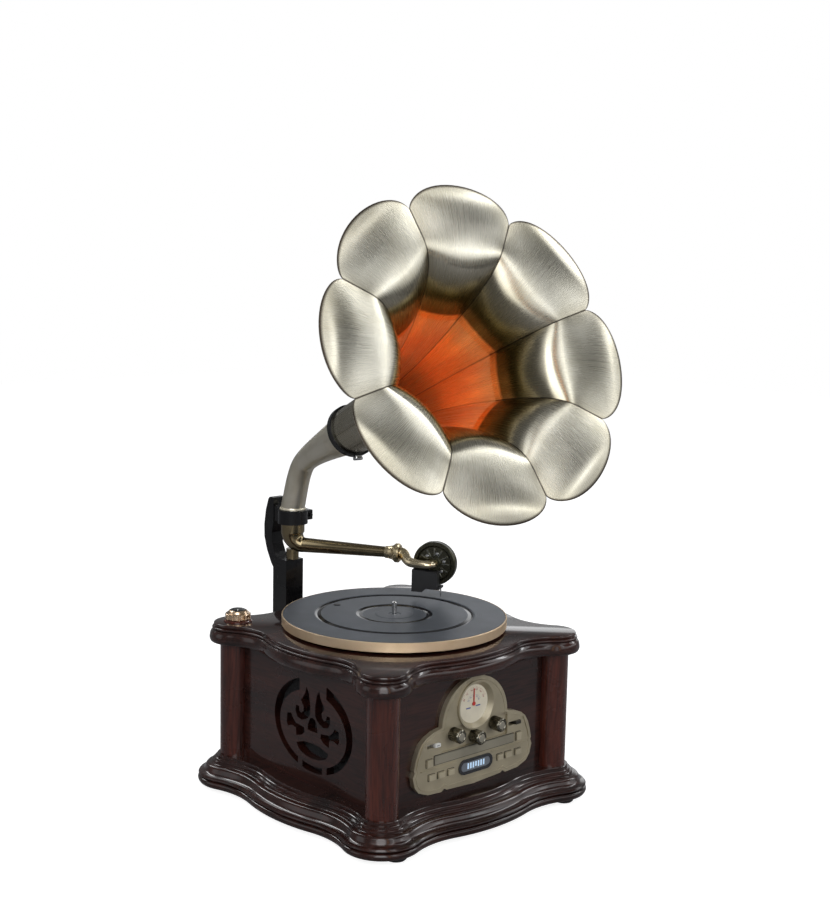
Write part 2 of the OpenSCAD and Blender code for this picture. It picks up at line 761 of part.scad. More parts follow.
// Bearing shaft through the deck, with a thrust flange and a round-nosed record pin
module spindle() {
    low = panel_top - 6;
    color([0.75, 0.75, 0.76]) {
        translate([0, 0, low]) cylinder(r = shaft_r, h = mat_z - 1 - low);
        translate([0, 0, panel_top - 4]) cylinder(r = 10, h = 4);
        translate([0, 0, deck_z]) cylinder(r = 10, h = 1.5);
        translate([0, 0, mat_z - 1]) turned([[0, -lap], [spindle_r, -lap],
            [spindle_r, spindle_h - 0.5], [spindle_r - 1.6, spindle_h + 1], [0, spindle_h + 1]]);
    }
}

module motor() {
    color([0.6, 0.6, 0.62]) translate(motor_at) {
        translate([0, 0, panel_top + motor_deep - motor_h]) cylinder(r = motor_r, h = motor_h);
        translate([0, 0, panel_top + motor_deep - lap])
            cylinder(r = 1.5, h = pulley_top - panel_top - motor_deep + lap);
    }
}

module motor_pulley() {
    color(brass) translate([motor_at.x, motor_at.y, pulley_low]) difference() {
        turned([[0, 0], [pulley_r, 0], [pulley_r, pulley_top - pulley_low], [0, pulley_top - pulley_low]]);
        translate([0, 0, -lap]) cylinder(r = 1.5 + fit, h = 20);
    }
}

// Outline of a belt round the hub and the pulley, at a distance from both
function belt_outline(off) =
    let (a = hub_r + off, b = pulley_r + off, q = acos((a - b) / motor_reach))
    concat(oval(a, a, q, 360 - q, 72),
        [for (p = oval(b, b, -q, q, 24)) p + [motor_reach, 0]]);

module drive_belt() {
    color(black) rotate([0, 0, motor_turn]) translate([0, 0, belt_z])
        linear_extrude(belt_w) difference() {
            polygon(belt_outline(gap + belt_t));
            polygon(belt_outline(gap));
        }
}

// Bracket, collar and tonearm

// Iron bracket on the rear panel: wall plate, web, square post and the curved back arm
module bracket() {
    y0 = pivot_y + post_back - post_w / 2;
    y1 = y0 + post_w;
    color(black) {
        difference() {
            translate([-36, half, beam_z - 50]) cube([72, 7, 76]);
            for (x = [-26, 26], z = [beam_z - 40, beam_z + 16])
                translate([x, half - lap, z]) rotate([-90, 0, 0]) cylinder(r = 2.6, h = 8 + lap);
        }
        translate([-post_w / 2, half, beam_z]) cube([post_w, y1 - half, 22]);
        translate([5, 0, 0]) rotate([90, 0, -90]) linear_extrude(10)
            polygon([[-half, beam_z - 46], [-half - 6, beam_z - 46], [-y0 - 4, beam_z - 8],
                [-y0 - 4, beam_z + lap], [-half, beam_z + lap]] );
        translate([-post_w / 2, y0, beam_z]) cube([post_w, post_w, post_top - beam_z]);
        translate([0, pivot_y, post_top - lap]) cylinder(r = pin_r, h = 10 + lap);
        translate([back_arm_w / 2, pivot_y, 0]) rotate([90, 0, -90]) mirror([1, 0])
            linear_extrude(back_arm_w) back_arm_side();
    }
}

// Side view of the back arm: distance behind the pivot axis, and height
module back_arm_side() {
    rear = post_back + post_w / 2;
    seat = pipe_r + collar_t + 10.5;
    low = collar_z - 3;
    high = collar_z + collar_h + 13;
    polygon([[rear - lap, post_top - 24], [rear, post_top - 24], [rear + 12, post_top - 10],
        [rear + 22, post_top + 8], [rear + 28, post_top + 26], [rear + 28.5, post_top + 44],
        [rear + 25, low + 16], [rear + 19, high - 3], [rear + 16, high], [seat, high],
        [seat, low], [seat + 4, post_top + 34], [seat + 3, post_top + 18],
        [seat - 3, post_top + 6], [rear - lap, post_top]]);
}

// Split collar round the upright pipe, with its clamp bolt
module collar_clamp() {
    color(black) translate([0, pivot_y, collar_z]) difference() {
        union() {
            cylinder(r = pipe_r + collar_t, h = collar_h);
            translate([-9, 0, 0]) cube([18, pipe_r + collar_t + 10.5, collar_h]);
            translate([0, -7, 3]) cube([pipe_r + collar_t + 9, 14, collar_h - 6]);
            translate([pipe_r + collar_t + 4.5, -10, collar_h / 2]) rotate([-90, 0, 0])
                cylinder(r = 2.6, h = 20);
        }
        translate([0, 0, -lap]) cylinder(r = pipe_r + fit, h = collar_h + 2 * lap);
        translate([0, -0.8, -lap]) cube([pipe_r + collar_t + 1.4, 1.6, collar_h + 2 * lap]);
    }
}

// Places a piece in the frame of the arm: -Y along the arm, the pivot axis at the origin
module on_arm() { translate([0, pivot_y, 0]) rotate([0, 0, arm_turn]) children(); }

// Upright pipe, tight elbow and tapered tube of the tonearm, on a pivot boss
module tonearm() {
    steps = 9;
    bend = [for (i = [0:steps]) let (q = 90 * i / steps, t = i / steps)
        ring([0, -elbow_r + elbow_r * cos(q), tube_z + elbow_r - elbow_r * sin(q)],
            [0, -sin(q), -cos(q)], [1, 0, 0], mix(pipe_r, arm_root_r, t))];
    color(brass) on_arm() difference() {
        union() {
            translate([0, 0, tube_z + elbow_r - lap / 2])
                cylinder(r = pipe_r, h = split_z - gap - tube_z - elbow_r + lap / 2);
            loft(concat(bend, [ring([0, -arm_l, tube_z], [0, -1, 0], [1, 0, 0], arm_tip_r)]));
            translate([0, 0, post_top + gap]) cylinder(r = pin_r + 4, h = tube_z - post_top);
        }
        translate([0, 0, post_top]) cylinder(r = pin_r + fit, h = 10.5);
    }
}

// Brass sleeve at the end of the arm tube, bored for the gooseneck's spigot
module arm_ferrule() {
    color(brass) on_arm() translate([0, -arm_l, tube_z]) rotate([90, 0, 0]) difference() {
        turned([[0, 0], [arm_tip_r + 1, 0], [arm_tip_r + 1.3, 5], [arm_tip_r + 2.5, 10],
            [ferrule_r - 1.5, 13], [ferrule_r, 14.5], [ferrule_r, ferrule_l - 2],
            [ferrule_r - 2, ferrule_l], [0, ferrule_l]]);
        translate([0, 0, 5]) cylinder(r = neck_r + fit, h = ferrule_l);
    }
}

// S-shaped tube from the ferrule to the back of the soundbox
module gooseneck() {
    from = arm_l + ferrule_l + 1;
    low_z = soundbox_z + mat_z + 0.5;
    rim_y = -(box_l - soundbox_r);
    beside = [-soundbox_t / 2 - neck_r - 1.5, rim_y, low_z];
    first = [[0, -from, tube_z], [0, -from - 8, tube_z],
        [0.6 * beside.x, mix(-from, rim_y, 0.4), low_z + 1], beside];
    second = [beside, beside + [-3, -13, -1], [beside.x - 4.5, 1 - box_l, low_z - 1],
        [-soundbox_t / 2 - 2, -box_l, soundbox_z + mat_z]];
    steps = 7;
    path = concat([for (i = [0:steps]) bezier(first, i / steps)],
        [for (i = [1:steps]) bezier(second, i / steps)]);
    last = len(path) - 1;
    color(brass) on_arm() {
        loft([for (i = [0:last]) let (
            along = i == 0 ? [0, -1, 0] : i == last ? [1, 0, 0]
                : unit(path[i + 1] - path[i - 1]),
            side = unit(cross(along, [0, 0, 1])))
            ring(path[i], along, side, mix(neck_r + 2.5, neck_r - 0.4, pow(i / last, 0.6)), 20)]);
        translate([0, -arm_l - 6, tube_z]) rotate([90, 0, 0])
            cylinder(r = neck_r, h = from - arm_l - 6 + lap);
    }
}

// Round soundbox: a clamped rim, a face on the far side and the boss of the gooseneck
module soundbox() {
    h = soundbox_t / 2;
    r = soundbox_r;
    color([0.16, 0.16, 0.12]) on_arm() translate([0, -box_l, soundbox_z + mat_z])
        rotate([0, 90, 0]) turned([[0, -h - 2], [9, -h - 2], [9, -h + 1.5], [r - 7, -h + 1.5],
            [r - 5, -h], [r - 1.5, -h], [r, -h + 1.5], [r, -1.2], [r - 1, -0.6], [r - 1, 0.6],
            [r, 1.2], [r, h - 1.5], [r - 1.5, h], [r - 6, h], [r - 8, h - 2], [12, h - 2],
            [10, h - 0.5], [0, h - 0.5]]);
}

// Black carrier of the pickup beside the soundbox, with a toe under it for the stylus
module headshell() {
    x = -soundbox_t / 2;
    z = mat_z;
    color(black) on_arm() {
        translate([x, 0, 0]) rotate([90, 0, -90]) mirror([1, 0]) linear_extrude(13) mirror([1, 0])
            polygon([[box_l - 28, z + 9], [box_l - 13, z + 9], [box_l - 8, z + 14],
                [needle_l + 3, z + 14], [needle_l + 3, z + 17.2], [needle_l, z + 18],
                [needle_l, z + 38], [box_l - 28, z + 40]]);
        translate([x - lap, -needle_l - 3, z + 14]) cube([-x + 3 + lap, 9, 3]);
    }
}

// Needle with its shank
module stylus() {
    color([0.8, 0.8, 0.8]) on_arm() translate([0, -needle_l, mat_z + gap])
        turned([[0, 0], [0.35, 0], [1, 5], [1.1, 14 - gap], [0, 14 - gap]]);
}

// Horn

// Places a piece in the frame of the horn: -Y forwards, the pivot axis at the origin
module on_horn() { translate([0, pivot_y, 0]) rotate([0, 0, horn_turn]) children(); }

// Places a piece at the neck's far end, with +Z along the horn's axis and +Y upwards
module on_bell() {
    on_horn() translate([0, -neck_reach, mat_z + neck_rise])
        rotate([90 - horn_tilt, 0, 0]) children();
}

// Centre line and radius of the neck, for t from 0 at the collar to 2 at the far end
neck_low = [[0, 0, neck_z], [0, -8, neck_z + 18], [0, -14, neck_z + 53], [0, -34, neck_z + 69]];
neck_end = [0, -neck_reach, mat_z + neck_rise];
neck_high = [neck_low[3], neck_low[3] + [0, -22, 17.6],
    neck_end - 50 * [0, -cos(horn_tilt), sin(horn_tilt)], neck_end];
function neck_point(t) = t < 1 ? bezier(neck_low, t) : bezier(neck_high, t - 1);
function neck_way(t) = t <= 0 ? [0, 0, 1]
    : t >= 2 ? [0, -cos(horn_tilt), sin(horn_tilt)]
    : unit(neck_point(t + 0.01) - neck_point(t - 0.01));
function neck_radius(t) = t < 1 ? mix(pipe_r, neck_waist_r, t)
    : mix(neck_waist_r, neck_tip_r, pow(t - 1, 1.6));

// Curved neck that flares to the horn, on an upright pipe that turns in the collar
module horn_neck() {
    color([0.62, 0.57, 0.45]) on_horn() {
        difference() {
            loft([for (i = [0:18]) let (t = i / 9)
                ring(neck_point(t), neck_way(t), [1, 0, 0], neck_radius(t))]);
            loft([for (i = [0:7]) let (t = mix(1.3, 2, i / 6))
                ring(i < 7 ? neck_point(t) : neck_end + neck_way(2), neck_way(t), [1, 0, 0],
                    neck_radius(min(t, 2)) - sheet_t)]);
        }
        translate([0, 0, split_z + gap]) cylinder(r = pipe_r, h = neck_z - split_z - gap + lap / 2);
        translate([0, 0, collar_z + collar_h + gap])
            turned([[0, 0], [pipe_r + 2, 0], [pipe_r + 2, 1.5], [pipe_r + 1, 3], [0, 3]]);
    }
}

// Black clamping ring over the joint of neck and horn
module neck_ring() {
    r = neck_tip_r;
    color(black) on_bell() turned([[r + fit, -9], [r + 2.5, -10], [r + 4.5, -9], [r + 4.5, -1],
        [r + 3.5, 0], [r + fit, 0]]);
}

// The horn's sheet. seam is the line where two petals meet, crown how far the middle of a
// panel stands forward of, and outside, the straight line between its two seams. Both run
// from the neck to the mouth; the last two rows lie past the notch, under the tip.
// seam: share of the length, share of the growth in radius
seam = [[0, 0], [0.2, 0.013], [0.333, 0.036], [0.467, 0.091], [0.567, 0.153], [0.667, 0.227],
    [0.75, 0.305], [0.827, 0.377], [0.883, 0.448], [0.933, 0.52], [0.967, 0.59], [0.99, 0.67],
    [1, 0.76], [1, 0.88], [1, 1], [0.998, 1.13], [0.99, tip_share]];
// crown: share of the swell forward, share of it outside
crown = [[0, 0.295], [0, 0.2], [0, 0.1], [0, 0], [0, -0.125], [0.125, -0.375], [0.25, -0.5],
    [0.375, -0.625], [0.5, -0.75], [0.75, -0.75], [1, -0.75], [1.125, -0.5], [1, -0.25],
    [1, 0], [1, 0.125], [1, 0.2], [1, tip_push / petal_swell]];
NECK_ROWS = 6;
FIXED_ROWS = 12;
NOTCH_ROW = 14;
TIP_ROW = 16;
RIM_STEPS = 4;
ACROSS = 10;

function between(list, k) = let (i = min(floor(k), len(list) - 2)) mix(list[i], list[i + 1], k - i);

// Point of a panel: row k along it, v from -1 to 1 across it, a the direction of its middle
function sheet_point(k, v, a) =
    let (m = between(seam, k), c = petal_swell * between(crown, k), w = 180 / PETALS,
         r = mix(neck_tip_r, notch_r, m.y), bulge = 1 - v * v,
         chord = [cos(w), 0] * r, out = chord.x + c.y * bulge, side = v * r * sin(w))
    [out * cos(a) + side * sin(a), out * sin(a) - side * cos(a), horn_l * m.x + c.x * bulge];

// Direction from the front of the sheet to its back; at a seam it stays in the plane of the
// seam, so that neighbouring petals meet face to face
function sheet_back(k, v, a) =
    let (e = 0.02, raw = cross(sheet_point(k, v + e, a) - sheet_point(k, v - e, a),
            sheet_point(min(k + e, TIP_ROW), v, a) - sheet_point(max(k - e, 0), v, a)),
         q = a - v * 180 / PETALS, tangent = [-sin(q), cos(q), 0],
         seam_v = abs(v) > 0.999 ? raw - (raw * tangent) * tangent : raw,
         flat_k = k < 0.001 ? [seam_v.x, seam_v.y, 0] : seam_v,
         n = unit(flat_k))
    k < NOTCH_ROW - 6 && n * [cos(a), sin(a), 0] < 0 || n.z > 0.2 ? -n : n;

function across(j) = j == 0 ? -1 : j == ACROSS ? 1 : -cos(180 * j / ACROSS);

// Rows of a petal end on its rounded rim
function petal_row(i, v) = i <= FIXED_ROWS ? i
    : FIXED_ROWS + (i - FIXED_ROWS) / RIM_STEPS
        * (NOTCH_ROW + (TIP_ROW - NOTCH_ROW) * pow(max(0, 1 - v * v), 0.7) - FIXED_ROWS);

// Direction of the middle of petal number i
function petal_turn(i) = petal_start - (i - 1) * 360 / PETALS;

// Closed sheet over a grid of front and back points, rows by columns
module sheet(front, back) {
    rows = len(front);
    cols = len(front[0]);
    n = rows * cols;
    function id(r, c) = r * cols + c;
    function quad(a, b, c, d) = [[a, b, c], [a, c, d]];
    skin = [for (r = [0:rows - 2], c = [0:cols - 2]) each concat(
        quad(id(r, c), id(r + 1, c), id(r + 1, c + 1), id(r, c + 1)),
        quad(n + id(r, c), n + id(r, c + 1), n + id(r + 1, c + 1), n + id(r + 1, c)))];
    ends = [for (c = [0:cols - 2]) each concat(
        quad(id(0, c), id(0, c + 1), n + id(0, c + 1), n + id(0, c)),
        quad(id(rows - 1, c), n + id(rows - 1, c), n + id(rows - 1, c + 1), id(rows - 1, c + 1)))];
    sides = [for (r = [0:rows - 2]) each concat(
        quad(id(r, 0), n + id(r, 0), n + id(r + 1, 0), id(r + 1, 0)),
        quad(id(r, cols - 1), id(r + 1, cols - 1), n + id(r + 1, cols - 1), n + id(r, cols - 1)))];
    polyhedron(concat([for (r = front) each r], [for (r = back) each r]),
        concat(skin, ends, sides));
}

module petal(i) {
    a = petal_turn(i);
    rows = FIXED_ROWS + RIM_STEPS;
    color(nickel) on_bell() sheet(
        [for (k = [NECK_ROWS:rows]) [for (j = [0:ACROSS])
            let (v = across(j)) sheet_point(petal_row(k, v), v, a)]],
        [for (k = [NECK_ROWS:rows]) [for (j = [0:ACROSS])
            let (v = across(j), u = petal_row(k, v))
            sheet_point(u, v, a) + sheet_t * sheet_back(u, v, a)]]);
}

// Fluted throat: eight panels from a round end at the neck to the petals' inner edges
module horn_throat() {
    n = PETALS * ACROSS;
    front = [for (k = [0:NECK_ROWS]) [for (j = [0:n - 1])
        let (i = floor(j / ACROSS)) sheet_point(k, across(j % ACROSS), petal_turn(i + 1))]];
    back = [for (k = [0:NECK_ROWS]) [for (j = [0:n - 1])
        let (i = floor(j / ACROSS), v = across(j % ACROSS), a = petal_turn(i + 1))
        sheet_point(k, v, a) + sheet_t * sheet_back(k, v, a)]];
    m = n * (NECK_ROWS + 1);
    function id(r, c) = r * n + c % n;
    faces = concat([for (r = [0:NECK_ROWS - 1], c = [0:n - 1]) each
            [[id(r, c), id(r + 1, c), id(r + 1, c + 1)], [id(r, c), id(r + 1, c + 1), id(r, c + 1)],
             [m + id(r, c), m + id(r + 1, c + 1), m + id(r + 1, c)],
             [m + id(r, c), m + id(r, c + 1), m + id(r + 1, c + 1)]]],
        [for (c = [0:n - 1], r = [0, NECK_ROWS]) each r == 0
            ? [[id(r, c), id(r, c + 1), m + id(r, c + 1)], [id(r, c), m + id(r, c + 1), m + id(r, c)]]
            : [[id(r, c), m + id(r, c), m + id(r, c + 1)], [id(r, c), m + id(r, c + 1), id(r, c + 1)]]]);
    color(copper) on_bell()
        polyhedron(concat([for (r = front) each r], [for (r = back) each r]), faces);
}

feet();
plinth();
corner_columns();
front_panel();
left_panel();
right_panel();
rear_panel();
top_board();
grille_cloths();
speakers();
control_fascia();
dial_face();
dial_pointer();
volume_knob();
function_knob();
tuning_knob();
band_switch();
mode_switch();
display_bezel();
display_window();
disc_tray();
disc_drive();
circuit_boards();
transformer();
rear_terminals();
speed_knob_base();
speed_knob();
platter();
platter_mat();
spindle();
motor();
motor_pulley();
drive_belt();
bracket();
collar_clamp();
tonearm();
arm_ferrule();
gooseneck();
soundbox();
headshell();
stylus();
horn_neck();
neck_ring();
horn_throat();
for (i = [1:KEYS]) push_key(keys[i - 1]);
for (i = [1:PETALS]) petal(i);
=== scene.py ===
import math

import bmesh
import bpy
from mathutils import Matrix, Vector


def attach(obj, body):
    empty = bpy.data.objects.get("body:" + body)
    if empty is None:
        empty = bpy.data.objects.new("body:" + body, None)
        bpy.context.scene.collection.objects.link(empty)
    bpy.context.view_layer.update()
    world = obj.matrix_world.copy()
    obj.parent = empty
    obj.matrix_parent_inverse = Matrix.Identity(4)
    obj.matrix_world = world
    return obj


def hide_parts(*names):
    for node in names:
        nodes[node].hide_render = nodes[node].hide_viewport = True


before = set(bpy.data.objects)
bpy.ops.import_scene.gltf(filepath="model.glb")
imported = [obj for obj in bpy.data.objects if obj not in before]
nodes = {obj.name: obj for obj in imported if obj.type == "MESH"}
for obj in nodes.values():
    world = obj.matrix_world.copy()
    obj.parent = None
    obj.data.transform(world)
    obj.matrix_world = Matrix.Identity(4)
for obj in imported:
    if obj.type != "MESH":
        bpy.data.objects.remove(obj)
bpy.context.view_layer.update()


# View and light
# The photograph was taken from the left front, a little above the platter, with soft light
# from large panels. Floor and backdrop are plain and pale.
def turned(degrees, axis):
    return Matrix.Rotation(math.radians(degrees), 4, axis)


def moved(x, y, z):
    return Matrix.Translation((x, y, z))


PAN, DOWNWARD, ROLL = -42.716, 8.647, 1.148
camera_data = bpy.data.cameras.new("photo_view")
camera_data.lens, camera_data.sensor_width = 59.82, 36
camera = bpy.data.objects.new("photo_view", camera_data)
camera.matrix_world = (moved(-1.3330, -1.4783, 0.7516) @ turned(PAN, "Z")
                       @ turned(90 - DOWNWARD, "X") @ turned(ROLL, "Z"))
bpy.context.scene.collection.objects.link(camera)
bpy.context.scene.camera = camera
bpy.context.scene.view_settings.view_transform = "Standard"
LAMP_AIM = Vector((0, 0, 0.35))


def panel_light(name, place, size, power):
    """Rectangular lamp that faces the middle of the record player and shows in no gloss"""
    lamp = bpy.data.lights.new(name, "AREA")
    lamp.shape = "RECTANGLE"
    lamp.size, lamp.size_y = size
    lamp.energy = power
    holder = bpy.data.objects.new(name, lamp)
    holder.location = place
    holder.rotation_euler = (LAMP_AIM - Vector(place)).to_track_quat("-Z", "Y").to_euler()
    holder.visible_glossy = False
    bpy.context.scene.collection.objects.link(holder)


panel_light("key_panel", (-2.2, -0.6, 1.7), (0.7, 1.6), 26)
panel_light("fill_panel", (0.7, -2.4, 1.2), (0.6, 1.6), 22)
panel_light("rim_panel", (2.3, 0.5, 1.7), (0.8, 1.2), 14)
panel_light("top_panel", (-0.2, -0.2, 2.6), (1.4, 0.7), 12)


def add(tree, kind, links=None, **values):
    """Adds a shader node, sets its values, and links or sets its inputs"""
    node = tree.nodes.new("ShaderNode" + kind)
    for key, value in values.items():
        setattr(node, key, value)
    for socket, source in (links or {}).items():
        if isinstance(source, bpy.types.NodeSocket):
            tree.links.new(source, node.inputs[socket])
        else:
            node.inputs[socket].default_value = source
    return node


def calc(tree, operation, *terms, kind="Math"):
    """Result of one sum, of numbers or of vectors"""
    return add(tree, kind, dict(enumerate(terms)), operation=operation).outputs[0]


def ranged(tree, value, low, high, to_low=0.0, to_high=1.0):
    return add(tree, "MapRange", {0: value, 1: low, 2: high, 3: to_low, 4: to_high}).outputs[0]


def band(tree, value, low, high, edge=0.0006):
    """1 between two values, 0 elsewhere"""
    rise, fall = ranged(tree, value, low, low + edge), ranged(tree, value, high - edge, high)
    return calc(tree, "SUBTRACT", rise, fall)


def mixed(tree, factor, first, second):
    """Shader between two shaders"""
    return add(tree, "MixShader", {0: factor, 1: first, 2: second}).outputs[0]


ROOM_TURN = 70


def studio(tree, dark, panels):
    """Brightness by direction: panels of light round a dark room. A panel has the degrees that
    it spans round the room, then those upward, its strength, and how soft its edge is"""
    way = add(tree, "VectorRotate", {
        "Vector": add(tree, "TexCoord").outputs["Generated"], "Angle": math.radians(ROOM_TURN)},
        rotation_type="Z_AXIS").outputs[0]
    x, y, z = add(tree, "SeparateXYZ", {0: way}).outputs[:]
    across, upward = calc(tree, "ARCTAN2", y, x), calc(tree, "ARCSINE", z)
    total = dark
    for left, right, low, high, strength, soft in panels:
        wide = band(tree, across, math.radians(left), math.radians(right), math.radians(soft))
        tall = band(tree, upward, math.radians(low), math.radians(high), math.radians(soft))
        lit = calc(tree, "MULTIPLY", wide, tall)
        total = calc(tree, "MULTIPLY_ADD", lit, strength, total)
    return total


world = bpy.data.worlds.new("studio")
bpy.context.scene.world = world
world.use_nodes = True
tree = world.node_tree
tree.nodes.clear()
ROOM_DARK = 0.17
cool_panels = studio(tree, ROOM_DARK, [
    (-82, -42, -14, 66, 3.0, 8), (-104, -40, 16, 68, 1.0, 12), (-36, 60, 2, 24, 1.3, 7),
    (-34, -8, 18, 62, 1.5, 7), (34, 62, 18, 62, 1.5, 7), (-20, 46, 48, 66, 1.1, 7),
    (-20, 40, 20, 48, -0.10, 8), (140, 178, 34, 60, 1.6, 6), (-158, -118, -6, 40, 0.7, 10),
    (80, 124, 0, 24, 1.1, 6), (164, 172, 24, 54, 9.0, 2.5), (50, 59, 24, 50, 6.5, 3),
    (-22, -17, 14, 50, 2.4, 2), (6, 34, 12, 17, 2.2, 2)])
warm_strip = studio(tree, 0, [(-40, -36, -10, 60, 2.2, 1.5)])
cool, warm, room, white = [
    add(tree, "Background", {"Color": (*colour, 1), "Strength": strength}).outputs[0]
    for colour, strength in (((0.97, 0.985, 1.0), cool_panels), ((1.0, 0.50, 0.20), warm_strip),
                             ((0.95, 0.97, 1.0), 0.30), ((1, 1, 1), 1.0))]
gloss = add(tree, "AddShader", {0: cool, 1: warm}).outputs[0]
path = add(tree, "LightPath").outputs
seen = calc(tree, "MAXIMUM", path["Is Camera Ray"], path["Is Transmission Ray"])
sky = mixed(tree, seen, mixed(tree, path["Is Glossy Ray"], room, gloss), white)
add(tree, "OutputWorld", {0: sky})


def blank_material(name):
    material = bpy.data.materials.new(name)
    material.use_nodes = True
    material.node_tree.nodes.clear()
    return material, material.node_tree


FLOOR = 5
floor_mesh = bpy.data.meshes.new("floor")
floor_mesh.from_pydata(
    [(-FLOOR, -FLOOR, 0), (FLOOR, -FLOOR, 0), (FLOOR, FLOOR, 0), (-FLOOR, FLOOR, 0)],
    [], [(0, 1, 2, 3)])
floor = bpy.data.objects.new("floor", floor_mesh)
bpy.context.scene.collection.objects.link(floor)
floor_material, tree = blank_material("pale_floor")
matt = add(tree, "BsdfPrincipled", {"Base Color": (0.26, 0.26, 0.27, 1), "Roughness": 0.8})
bright = add(tree, "BsdfPrincipled", {
    "Base Color": (0.5, 0.5, 0.5, 1), "Roughness": 0.9, "Specular IOR Level": 0.0,
    "Emission Color": (1, 1, 1, 1), "Emission Strength": 0.87})
seen = add(tree, "LightPath").outputs["Is Camera Ray"]
add(tree, "OutputMaterial", {0: mixed(tree, seen, matt.outputs[0], bright.outputs[0])})
floor_mesh.materials.append(floor_material)


# Case woodwork
# Plinth, panels, posts and top board of dark reddish hardwood, stained and sprayed with a
# deep gloss lacquer. Panels are glued between the four turned posts, and the moulded plinth
# and top board close them below and above.
MM = 0.001


def group(name, inputs, outputs):
    """Shader node group with named inputs and outputs"""
    made = bpy.data.node_groups.new(name, "ShaderNodeTree")
    for label, kind, value in inputs:
        made.interface.new_socket(
            label, in_out="INPUT", socket_type="NodeSocket" + kind).default_value = value
    for label, kind in outputs:
        made.interface.new_socket(label, in_out="OUTPUT", socket_type="NodeSocket" + kind)
    return made, made.nodes.new("NodeGroupInput").outputs, made.nodes.new("NodeGroupOutput")


def put_out(tree, result, sources):
    """Links what a group has made to its outputs"""
    for label, source in sources.items():
        tree.links.new(source, result.inputs[label])


def blended(tree, factor, first, second):
    """Colour between two colours"""
    return add(tree, "Mix", {0: factor, 6: first, 7: second}, data_type="RGBA").outputs[2]


def noise(tree, place, scale, detail=2.0, roughness=0.5):
    """Cloudy values between 0 and 1"""
    return add(tree, "TexNoise", {"Vector": place, "Scale": scale, "Detail": detail,
                                  "Roughness": roughness}).outputs[0]


def bumped(tree, height, strength, distance):
    return add(tree, "Bump", {"Strength": strength, "Distance": distance,
                              "Height": height}).outputs[0]


def own_place(tree):
    """The point itself, in metres, which stays on the piece as it moves"""
    return add(tree, "TexCoord").outputs["Object"]


wood_grain, given, result = group(
    "wood_grain",
    [("Along", "Vector", (3, 40, 40)), ("Dark", "Color", (0.02, 0.006, 0.004, 1)),
     ("Light", "Color", (0.09, 0.02, 0.012, 1)), ("Orange peel", "Float", 0.02)],
    [("Color", "Color"), ("Roughness", "Float"), ("Normal", "Vector")])
t = wood_grain
place = own_place(t)
wander = add(t, "TexNoise", {"Vector": place, "Scale": 4.0, "Detail": 2.0}).outputs["Color"]
sway = calc(t, "MULTIPLY", wander, (0.02, 0.02, 0.02), kind="VectorMath")
swayed = calc(t, "ADD", place, sway, kind="VectorMath")
drawn = calc(t, "MULTIPLY", swayed, given["Along"], kind="VectorMath")
figure, pores = noise(t, drawn, 1.0, 5.0, 0.6), noise(t, drawn, 9.0)
streaks = calc(t, "MULTIPLY", figure, ranged(t, pores, 0.35, 0.6, 0.7, 1.0))
haze, peel = noise(t, place, 14.0, 4.0), noise(t, place, 240.0, 1.0)
put_out(t, result, {
    "Color": blended(t, ranged(t, streaks, 0.25, 0.62), given["Dark"], given["Light"]),
    "Roughness": ranged(t, haze, 0.3, 0.7, 0.22, 0.36),
    "Normal": bumped(t, peel, given["Orange peel"], 0.001)})


def shade(tree, inputs):
    """Principled shader as the surface of a material"""
    surface = add(tree, "BsdfPrincipled", inputs)
    add(tree, "OutputMaterial", {0: surface.outputs[0]})


def skinned(name, recipe, values, more):
    """Material whose colour, roughness and normal come from a group with its own values"""
    material, tree = blank_material(name)
    made = add(tree, "Group", values, node_tree=recipe).outputs
    shade(tree, {"Base Color": made["Color"], "Roughness": made["Roughness"],
                 "Normal": made["Normal"], **more})
    return material


def lacquered_wood(name, along, dark, light):
    return skinned(name, wood_grain, {"Along": along, "Dark": (*dark, 1), "Light": (*light, 1)}, {
        "Specular IOR Level": 0.15, "Coat Weight": 1.0, "Coat Roughness": 0.05, "Coat IOR": 1.45})


dark_stain, red_stain = (0.008, 0.003, 0.0024), (0.040, 0.0115, 0.0078)
post_dark, post_red = (0.026, 0.0065, 0.0045), (0.10, 0.022, 0.013)
wood_x = lacquered_wood("mahogany_along_x", (3, 45, 45), dark_stain, red_stain)
wood_y = lacquered_wood("mahogany_along_y", (45, 3, 45), dark_stain, red_stain)
wood_z = lacquered_wood("mahogany_posts", (45, 45, 3), post_dark, post_red)


def dress(node, material):
    """Gives a carried-over piece its finish"""
    mesh = nodes[node].data
    mesh.materials.clear()
    mesh.materials.append(material)


for name, wood in (("front_panel", wood_x), ("rear_panel", wood_x), ("left_panel", wood_y),
                   ("right_panel", wood_y), ("corner_columns", wood_z)):
    dress(name, wood)


def piece(name, shape, material, body, stands_for=(), crease=32):
    """Builds a piece from points in millimetres and faces, crisp over the crease angle"""
    points, faces = shape
    mesh = bpy.data.meshes.new(name)
    mesh.from_pydata([tuple(MM * c for c in p) for p in points], [], faces)
    work = bmesh.new()
    work.from_mesh(mesh)
    bmesh.ops.remove_doubles(work, verts=work.verts, dist=1e-6)
    bmesh.ops.recalc_face_normals(work, faces=work.faces)
    work.to_mesh(mesh)
    work.free()
    mesh.shade_smooth()
    mesh.set_sharp_from_angle(angle=math.radians(crease))
    mesh.materials.append(material)
    made = bpy.data.objects.new(name, mesh)
    bpy.context.scene.collection.objects.link(made)
    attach(made, body)
    if stands_for:
        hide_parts(*stands_for)
    return made


def through(before, a, b, after, u):
    """Point of a smooth curve, at share u of the way from a to b"""
    return 0.5 * ((2 * a) + (b - before) * u + (2 * before - 5 * a + 4 * b - after) * u * u
                  + (3 * a - before - 3 * b + after) * u ** 3)


